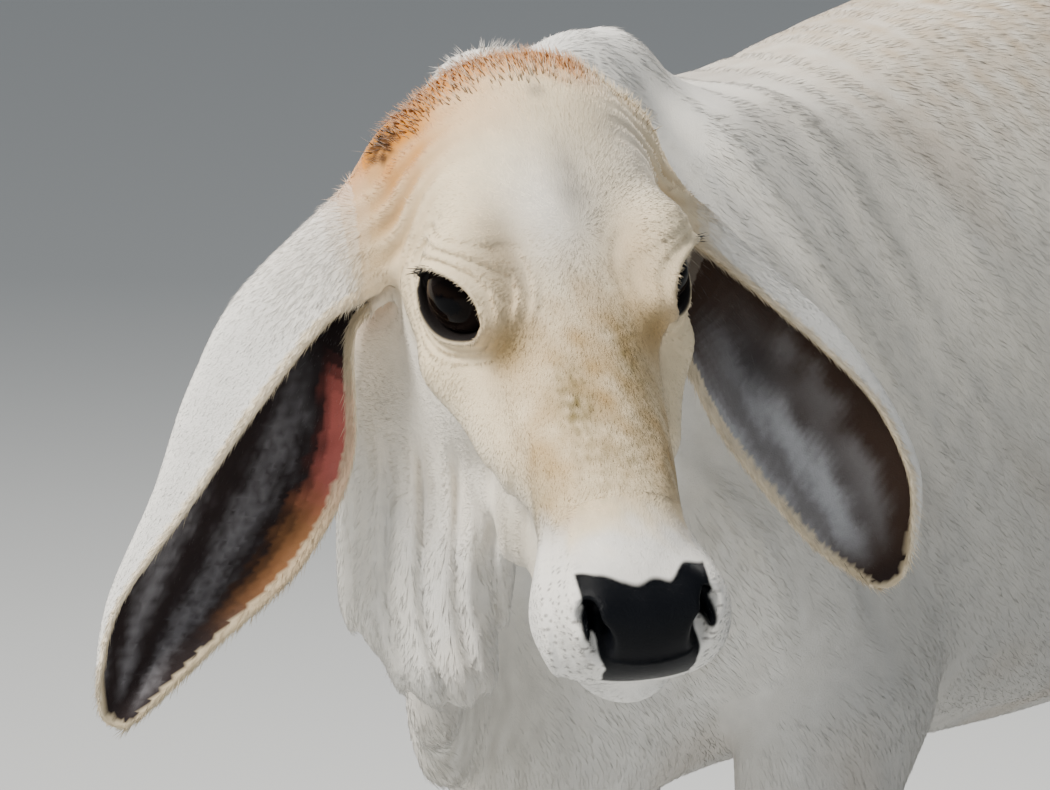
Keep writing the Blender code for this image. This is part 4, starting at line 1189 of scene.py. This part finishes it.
def placed(name, mesh, material, nodes=()):
    """Puts a mesh made in centimetres in the scene, riding on the one body."""
    mesh.transform(Matrix.Scale(CM, 4) @ Matrix.Translation(Vector(-SHIFT)))
    mesh.materials.clear()
    mesh.materials.append(material)
    mesh.shade_smooth()
    thing = added(name, mesh)
    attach(thing, "root")
    if nodes:
        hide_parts(*nodes)
    return thing


# The coat: closed flat tufts, rooted in the skin and lying the way the hair lies.

# Ways the hair lies: on the trunk, the legs, the neck, the cheeks and the muzzle
TRUNK_LIE, LEG_LIE, NECK_LIE = (0.0, 0.75, -0.66), (0.0, 0.12, -1.0), (-0.35, 0.55, -0.76)
CHEEK_LIE, MUZZLE_LIE = (0.0, 0.75, -0.65), (0.0, 0.8, -0.4)
# The hair of the forehead grows away from here.
WHORL = (0.6, -9.5, 4.5)


def away_from(points, middle):
    way = points - np.array(middle)
    return way / (np.linalg.norm(way, axis=1, keepdims=True) + 1e-6)


def turned_to(way, other, share):
    share = share[:, None]
    return way * (1 - share) + other * share


def lie_of_coat(points, normals):
    """The way the hair points at each place, along the skin."""
    local = in_head(points)
    y, z = local[:, 1], local[:, 2]
    way = np.tile(TRUNK_LIE, (len(points), 1))
    way = turned_to(way, np.array(LEG_LIE), rise(-points[:, 2], -52, -44))
    way = turned_to(way, np.array(NECK_LIE), rise(-points[:, 1], 24, 32) * rise(points[:, 2], 50, 56))
    face = turned_to(away_from(local, WHORL), np.array(CHEEK_LIE), rise(-z, 0, 4))
    face = turned_to(face, np.array(MUZZLE_LIE), rise(-y, 20, 24))
    way = turned_to(way, face @ TO_HEAD.T, rise(-y, -3, 0) * rise(z, -11.5, -8))
    for sheet in EAR_SHEETS.values():
        way = turned_to(way, away_from(points, sheet.root), 1 - rise(sheet.nearest(points)[0], 0.5, 1.0))
    way -= (way * normals).sum(axis=1, keepdims=True) * normals
    return way / (np.linalg.norm(way, axis=1, keepdims=True) + 1e-6)


def scattered(mesh, density, draw):
    """Random places on a mesh: (points, normals), by a density for each square centimetre."""
    mesh.calc_loop_triangles()
    corners = np.empty(len(mesh.loop_triangles) * 3, int)
    mesh.loop_triangles.foreach_get("vertices", corners)
    corners = corners.reshape(-1, 3)
    points, normals = vectors(mesh, "co"), vectors(mesh, "normal")
    a, b, c = (points[corners[:, i]] for i in range(3))
    area = np.linalg.norm(np.cross(b - a, c - a), axis=1) / 2
    wanted = area * density((a + b + c) / 3)
    count = np.floor(wanted + draw.uniform(size=len(wanted))).astype(int)
    chosen = np.repeat(np.arange(len(count)), count)
    u, v = draw.uniform(size=(2, len(chosen), 1))
    over = (u + v) > 1
    u, v = np.where(over, 1 - u, u), np.where(over, 1 - v, v)
    share = (1 - u - v, u, v)
    where = sum(points[corners[chosen, i]] * share[i] for i in range(3))
    way = sum(normals[corners[chosen, i]] * share[i] for i in range(3))
    return where, way / np.linalg.norm(way, axis=1, keepdims=True)


def tufts(points, normals, ways, sizes, colours, draw):
    """Flat pointed tufts of four faces each: (points, faces, colours). Sizes are length, width and lift."""
    count = len(points)
    ways = ways + np.cross(normals, ways) * draw.normal(0, 0.16, (count, 1))
    side = np.cross(normals, ways)
    side /= np.linalg.norm(side, axis=1, keepdims=True) + 1e-9
    spreads = zip(sizes, ((0.7, 1.25), (0.75, 1.25), (0.5, 1.4)))
    length, width, lift = ((size * draw.uniform(*spread, count))[:, None] for size, spread in spreads)
    root = points - normals * 0.05
    left, right = root + side * width / 2, root - side * width / 2
    crest = root + normals * (0.055 + width * 0.15) + ways * length * 0.25
    tip = points + ways * length + normals * lift
    vertices = np.stack([left, right, crest, tip], axis=1).reshape(-1, 3)
    first = np.arange(count)[:, None, None] * 4
    faces = (np.array([(0, 1, 2), (1, 3, 2), (3, 0, 2), (0, 3, 1)]) + first).reshape(-1, 3)
    shade = draw.uniform(0.88, 1.1, count)[:, None]
    return vertices, faces, np.repeat(np.clip(colours * shade, 0, 1), 4, axis=0)


def coat_mesh(name, vertices, faces, colours, places):
    mesh = mesh_of(name, vertices, faces)
    coloured(mesh, colours, np.zeros(len(vertices)))
    corner_uvs(mesh, places)
    return mesh


# The small patch of the unwrap that a tuft's four points take up
PATCH = ((-0.0015, 0), (0.0015, 0), (0, 0.001), (0, 0.0015))


def coat_piece(name, skin, material, density, sizes, seed):
    """One piece of coat over the part of the skin where its density isn't zero."""
    draw = np.random.default_rng(seed)
    points, normals = scattered(skin, density, np.random.default_rng(seed))
    colours, wet, bare = painted(points)
    keep = draw.uniform(size=len(points)) > bare + wet
    points, normals, colours = points[keep], normals[keep], colours[keep]
    length, width, lift = sizes
    if callable(length):
        length = length(points)
    ways = lie_of_coat(points, normals)
    vertices, faces, tints = tufts(points, normals, ways, (length, width, lift), colours, draw)
    places = (unwrapped(points, normals)[:, None] + np.array(PATCH)).reshape(-1, 2)
    print(name, len(faces), "faces")
    return placed(name, coat_mesh(name, vertices, faces, tints, places), material)


def head_share(points):
    local = in_head(points)
    return rise(-local[:, 1], -2, 1) * rise(local[:, 2], -12, -9)


def ear_share(points):
    share = np.zeros(len(points))
    for sheet in EAR_SHEETS.values():
        share = np.maximum(share, (sheet.nearest(points)[0] < 0.6) * (sheet.from_root(points) > 2.5))
    return share


# How many tufts grow on a square centimetre
FACE_TUFTS, EAR_TUFTS, BODY_TUFTS, POLL_TUFTS, FRINGE_TUFTS = 60.0, 40.0, 17.0, 26.0, 55.0


def on_the_face(points):
    return FACE_TUFTS * head_share(points) * (1 - ear_share(points))


def on_the_ears(points):
    return EAR_TUFTS * ear_share(points)


def on_the_body(low, high):
    """The trunk and neck between two places along Y."""

    def density(points):
        inside = (points[:, 1] >= low) & (points[:, 1] < high) & (points[:, 2] >= LEG_TOP)
        return BODY_TUFTS * inside * (1 - head_share(points)) * (1 - ear_share(points))

    return density


def on_the_legs(points):
    return BODY_TUFTS * (points[:, 2] < LEG_TOP)


def on_the_poll(points):
    x, y, z = in_head(points).T
    return POLL_TUFTS * rise(y, -3.0, -1.0) * rise(z, 1.5, 3.5) * rise(-y, -6, -4) * (np.abs(x) < 6.5)


def on_the_rims(points):
    rim = np.zeros(len(points))
    for sheet in EAR_SHEETS.values():
        far, along, across, _ = sheet.nearest(points)
        edge = rise(np.abs(across - 0.5), 0.475, 0.495) + 0.6 * (1 - rise(along, 0.1, 0.25))
        rim = np.maximum(rim, (far < 0.5) * edge * (along > 0.03))
    return FRINGE_TUFTS * rim


def face_length(points):
    """The face's hair is shortest on the muzzle and longest on the crown."""
    x, y, z = in_head(points).T
    return 0.28 + 0.4 * rise(y, -4.5, -1) * rise(z, 1.0, 3.5) + 0.08 * rise(y, -14, -4)


# The pieces of coat: where, the tufts' length, width and lift in centimetres, the seed and the slot
COAT = {
    "coat_face": (on_the_face, (face_length, 0.036, 0.012), 21, "hide"),
    "coat_ears": (on_the_ears, (0.32, 0.035, 0.015), 22, "ears"),
    "coat_body_0": (on_the_body(-70, -18), (0.9, 0.06, 0.008), 30, "hide"),
    "coat_body_1": (on_the_body(-18, -2), (0.9, 0.06, 0.008), 31, "hide"),
    "coat_body_2": (on_the_body(-2, 14), (0.9, 0.06, 0.008), 32, "hide"),
    "coat_body_3": (on_the_body(14, 29), (0.9, 0.06, 0.008), 33, "hide"),
    "coat_body_4": (on_the_body(29, 60), (0.9, 0.06, 0.008), 34, "hide"),
    "coat_legs": (on_the_legs, (0.6, 0.06, 0.05), 40, "leg_hide"),
    "poll_hair": (on_the_poll, (1.0, 0.06, 0.3), 50, "hide"),
    "ear_fringe": (on_the_rims, (0.7, 0.045, 0.08), 51, "ears"),
}
FLESH = ("head", "nose", "neck", "torso", "leg", "ear")
FLESH_NODES = [name for name in frame["nodes"] if name.startswith(FLESH)] + ["tail"]


def skin_and_coat(coat):
    mesh = whole_skin(Flesh())
    points, normals = vectors(mesh, "co"), vectors(mesh, "normal")
    colours, wet, _ = painted(points)
    coloured(mesh, colours, wet)
    corner_uvs(mesh, unwrapped(points, normals))
    share = 1.0
    for name, (density, sizes, seed, slot) in COAT.items():
        coat_piece(name, mesh, coat, lambda p, d=density: share * d(p), sizes, seed)
    lashes(coat)
    placed("skin", mesh, hide_material("skin", 1300.0, 0.5, 0.0, 0.12), FLESH_NODES)


def lashes(material):
    """The dark hairs along the edge of each upper lid."""
    draw = np.random.default_rng(8)
    count = 70
    roots, ways, normals = [], [], []
    for side in (1, -1):
        turn = TO_HEAD @ eye_frame(side)
        place = np.linspace(-0.9, 0.85, count)
        a = place * LID_HALF_LENGTH
        b = np.sqrt(LID_RADIUS**2 - a**2) - LID_OFFSET + 0.12
        out = np.sqrt(np.maximum((EYE_RADIUS + 0.35) ** 2 - a**2 - b**2, 0.05))
        roots.append(np.column_stack([a, b, out]) @ turn.T + TO_HEAD @ eye_place(side) + SKULL_AT)
        fan = np.column_stack([place * 0.5 + 0.1, 0.25 + draw.uniform(-0.1, 0.2, count), np.full(count, 1.0)])
        ways.append(fan @ turn.T)
        normals.append(np.tile(turn[:, 1], (count, 1)))
    roots, ways, normals = (np.concatenate(rows) for rows in (roots, ways, normals))
    ways /= np.linalg.norm(ways, axis=1, keepdims=True)
    tints = np.tile(LID, (len(roots), 1))
    vertices, faces, colours = tufts(roots, normals, ways, (0.95, 0.035, -0.12), tints, draw)
    places = np.repeat(unwrapped(roots, normals), 4, axis=0)
    placed("lashes", coat_mesh("lashes", vertices, faces, colours, places), material)


def eye(name, side, material):
    """The ball of the eye with its slightly raised clear front."""
    mesh = bpy.data.meshes.new("eye_" + name)
    work = bmesh.new()
    bmesh.ops.create_uvsphere(work, u_segments=64, v_segments=40, radius=EYE_RADIUS - 0.02)
    work.to_mesh(mesh)
    work.free()
    points = vectors(mesh, "co")
    x, y, z = points.T
    front = z > 0
    reach = np.hypot(x, y)
    pupil = (1 - rise(np.hypot(x / 0.75, y / 0.42), 0.92, 1.08)) * front
    layers = ((IRIS, (1 - rise(reach, 1.05, 1.2)) * front), (PUPIL, pupil))
    z += 0.06 * (1 - rise(reach, 0.3, 1.1)) * front
    points = points @ (TO_HEAD @ eye_frame(side)).T + TO_HEAD @ eye_place(side) + SKULL_AT
    mesh.vertices.foreach_set("co", points.ravel())
    coloured(mesh, layered(EYE_WHITE, layers, len(points)), np.ones(len(points)))
    layer = mesh.uv_layers.active or mesh.uv_layers.new(name="OFBake")
    layer.name = "OFBake"
    placed("eyeball_" + name, mesh, material, ["eye_" + name])


def horn_pieces(material):
    """The claws and dewclaws keep the solids' shape, with rounded edges."""
    for name, solid_node in frame["nodes"].items():
        if not name.startswith(("claw", "dewclaw")):
            continue
        mesh = solid_node.data.copy()
        mesh.materials.clear()
        mesh.materials.append(material)
        work = bmesh.new()
        work.from_mesh(mesh)
        bmesh.ops.remove_doubles(work, verts=work.verts, dist=1e-6)
        work.to_mesh(mesh)
        work.free()
        mesh.shade_smooth()
        thing = added("horn_" + name, mesh)
        bevel = thing.modifiers.new("soft edges", "BEVEL")
        bevel.width, bevel.segments, bevel.limit_method = 0.0012, 3, "ANGLE"
        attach(thing, "root")
        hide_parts(name)


def strand(start, bend, end, width, thickness, spin, steps):
    """A long flat lock of hair as rings of four points."""
    route = flowing([start, bend, end], steps)
    across = np.array([math.cos(spin), math.sin(spin), 0])
    flat = unit(np.cross(unit(np.array(end) - start), across))
    shares = np.linspace(0, 1, steps)
    shares = np.where(shares < 0.3, 0.6 + shares * 1.33, 1 - ((shares - 0.3) / 0.7) ** 1.6 * 0.95)
    rings = []
    for point, share in zip(route, shares):
        half, deep = across * width * share / 2, flat * max(thickness * share, 0.012) / 2
        rings.append([point + half, point + deep, point - half, point - deep])
    return np.array(rings)


def strand_faces(steps):
    faces = [(0, 1, 2, 3), tuple(range(steps * 4 - 4, steps * 4))[::-1]]
    for ring, corner in itertools.product(range(steps - 1), range(4)):
        a, b = ring * 4 + corner, ring * 4 + (corner + 1) % 4
        faces.append((a, a + 4, b + 4, b))
    return faces


# The tail's end, the number of locks in its switch, and the rings in each
TAIL_END = (1.0, 43.6)
LOCKS, RINGS = 420, 7


def tail_hair(material):
    """The switch of the tail: fine locks that hang round the tail's end."""
    draw = random.Random(5)
    vertices, faces, colours, places = [], [], [], []
    shares = np.repeat(np.linspace(0, 1, RINGS), 4)[:, None] ** 0.5
    for number in range(LOCKS):
        angle = number * 2.4
        out = np.array([math.cos(angle), math.sin(angle), 0])
        high = draw.uniform(33.0, 49.0) if number % 3 else draw.uniform(44.0, 49.0)
        low = max(high - draw.uniform(8.0, 16.0), draw.uniform(23.5, 29.0))
        middle = (high + low) / 2
        swell = 0.95 + 0.9 * min((46 - middle) / 20, 0.8)
        start = np.array([*TAIL_END, high]) + out * (0.5 if high > 42 else 0.7)
        bend = np.array([*TAIL_END, middle]) + out * swell * draw.uniform(0.75, 1.1)
        end = np.array([*TAIL_END, low]) + out * draw.uniform(0.1, 1.5)
        width = draw.uniform(0.2, 0.42)
        spin = angle + math.pi / 2 + draw.uniform(-0.5, 0.5)
        first = len(vertices) * RINGS * 4
        vertices.append(strand(start, bend, end, width, 0.1, spin, RINGS).reshape(-1, 3))
        faces += [tuple(first + i for i in face) for face in strand_faces(RINGS)]
        tone = draw.uniform(0.6, 1.5)
        pale = np.array(SWITCH_PALE if high > 45 else SWITCH_BROWN)
        colours.append((pale * (1 - shares) + np.array(SWITCH_DARK) * shares) * tone)
        place = (0.6 + 0.001 * (number % 40), 0.95 + 0.001 * (number // 40))
        places.append(np.tile(place, (RINGS * 4, 1)))
    mesh = bpy.data.meshes.new("tail_hair")
    mesh.from_pydata(np.concatenate(vertices).tolist(), [], faces)
    coloured(mesh, np.clip(np.concatenate(colours), 0, 1), np.full(len(mesh.vertices), 0.4))
    corner_uvs(mesh, np.concatenate(places))
    placed("tail_hair", mesh, material, ["tail_switch"])


# The studio, in metres
FLOOR_HALF = 30
FLOOR_COLOUR, SKY_COLOUR, SKY_STRENGTH = (0.55, 0.56, 0.56, 1), (0.80, 0.86, 0.92, 1), 0.34
# Each lamp: where it stands, what it points at, its width, its power and its colour
LAMPS = {
    "key": ((-0.7, -3.0, 3.6), (0.1, -0.3, 0.6), 1.3, 330, (1.0, 0.97, 0.91)),
    "fill": ((3.4, -2.2, 1.4), (0.1, -0.3, 0.6), 2.5, 24, (0.9, 0.95, 1.0)),
    "back": ((-1.8, 2.2, 3.0), (0.0, -0.2, 0.7), 1.2, 150, (1.0, 0.96, 0.9)),
}
# How much of a lamp's light shows as shine
LAMP_SHINE = 0.4


def studio():
    mesh = bpy.data.meshes.new("floor")
    corners = [(FLOOR_HALF * x, FLOOR_HALF * y, 0) for x, y in ((-1, -1), (1, -1), (1, 1), (-1, 1))]
    mesh.from_pydata(corners, [], [(0, 1, 2, 3)])
    mesh.materials.append(principled("floor", {"Base Color": FLOOR_COLOUR, "Roughness": 0.9})[0])
    added("floor", mesh)
    world = bpy.data.worlds.new("studio")
    world.use_nodes = True
    sky = world.node_tree.nodes["Background"]
    sky.inputs["Color"].default_value = SKY_COLOUR
    sky.inputs["Strength"].default_value = SKY_STRENGTH
    bpy.context.scene.world = world
    for name, row in LAMPS.items():
        lamp(name, *row)


def lamp(name, place, aim, size, power, colour):
    light = bpy.data.lights.new(name, "AREA")
    light.specular_factor = LAMP_SHINE
    light.shape, light.size, light.energy, light.color = "DISK", size, power, colour
    thing = added(name, light)
    thing.location = place
    thing.rotation_euler = (Vector(aim) - Vector(place)).to_track_quat("-Z", "Y").to_euler()


# The camera looks at the face from where the photo was taken: its turn and tilt in degrees, how far off
# it is in metres, and its lens in millimetres.
VIEW_TURN, VIEW_TILT, VIEW_FAR, VIEW_LENS = 45.0, 8.0, 6.0, 460.0


def camera():
    data = bpy.data.cameras.new("camera")
    data.lens, data.sensor_width = VIEW_LENS, 36.0
    thing = added("camera", data)
    turn, tilt = math.radians(VIEW_TURN), math.radians(VIEW_TILT)
    back = Vector((math.sin(turn) * math.cos(tilt), -math.cos(turn) * math.cos(tilt), math.sin(tilt)))
    thing.location = Vector((np.array(FACE_AT) - SHIFT) * CM) + back * VIEW_FAR
    thing.rotation_euler = (-back).to_track_quat("-Z", "Y").to_euler()
    bpy.context.scene.camera = thing


coat_material = hide_material("coat", 2500.0, 0.15, 0.2, 0.3)
skin_and_coat(coat_material)
tail_hair(coat_material)
ball_material = eye_material()
for side_name, side_sign in SIDES.items():
    eye(side_name, side_sign, ball_material)
horn_pieces(horn_material())
studio()
camera()
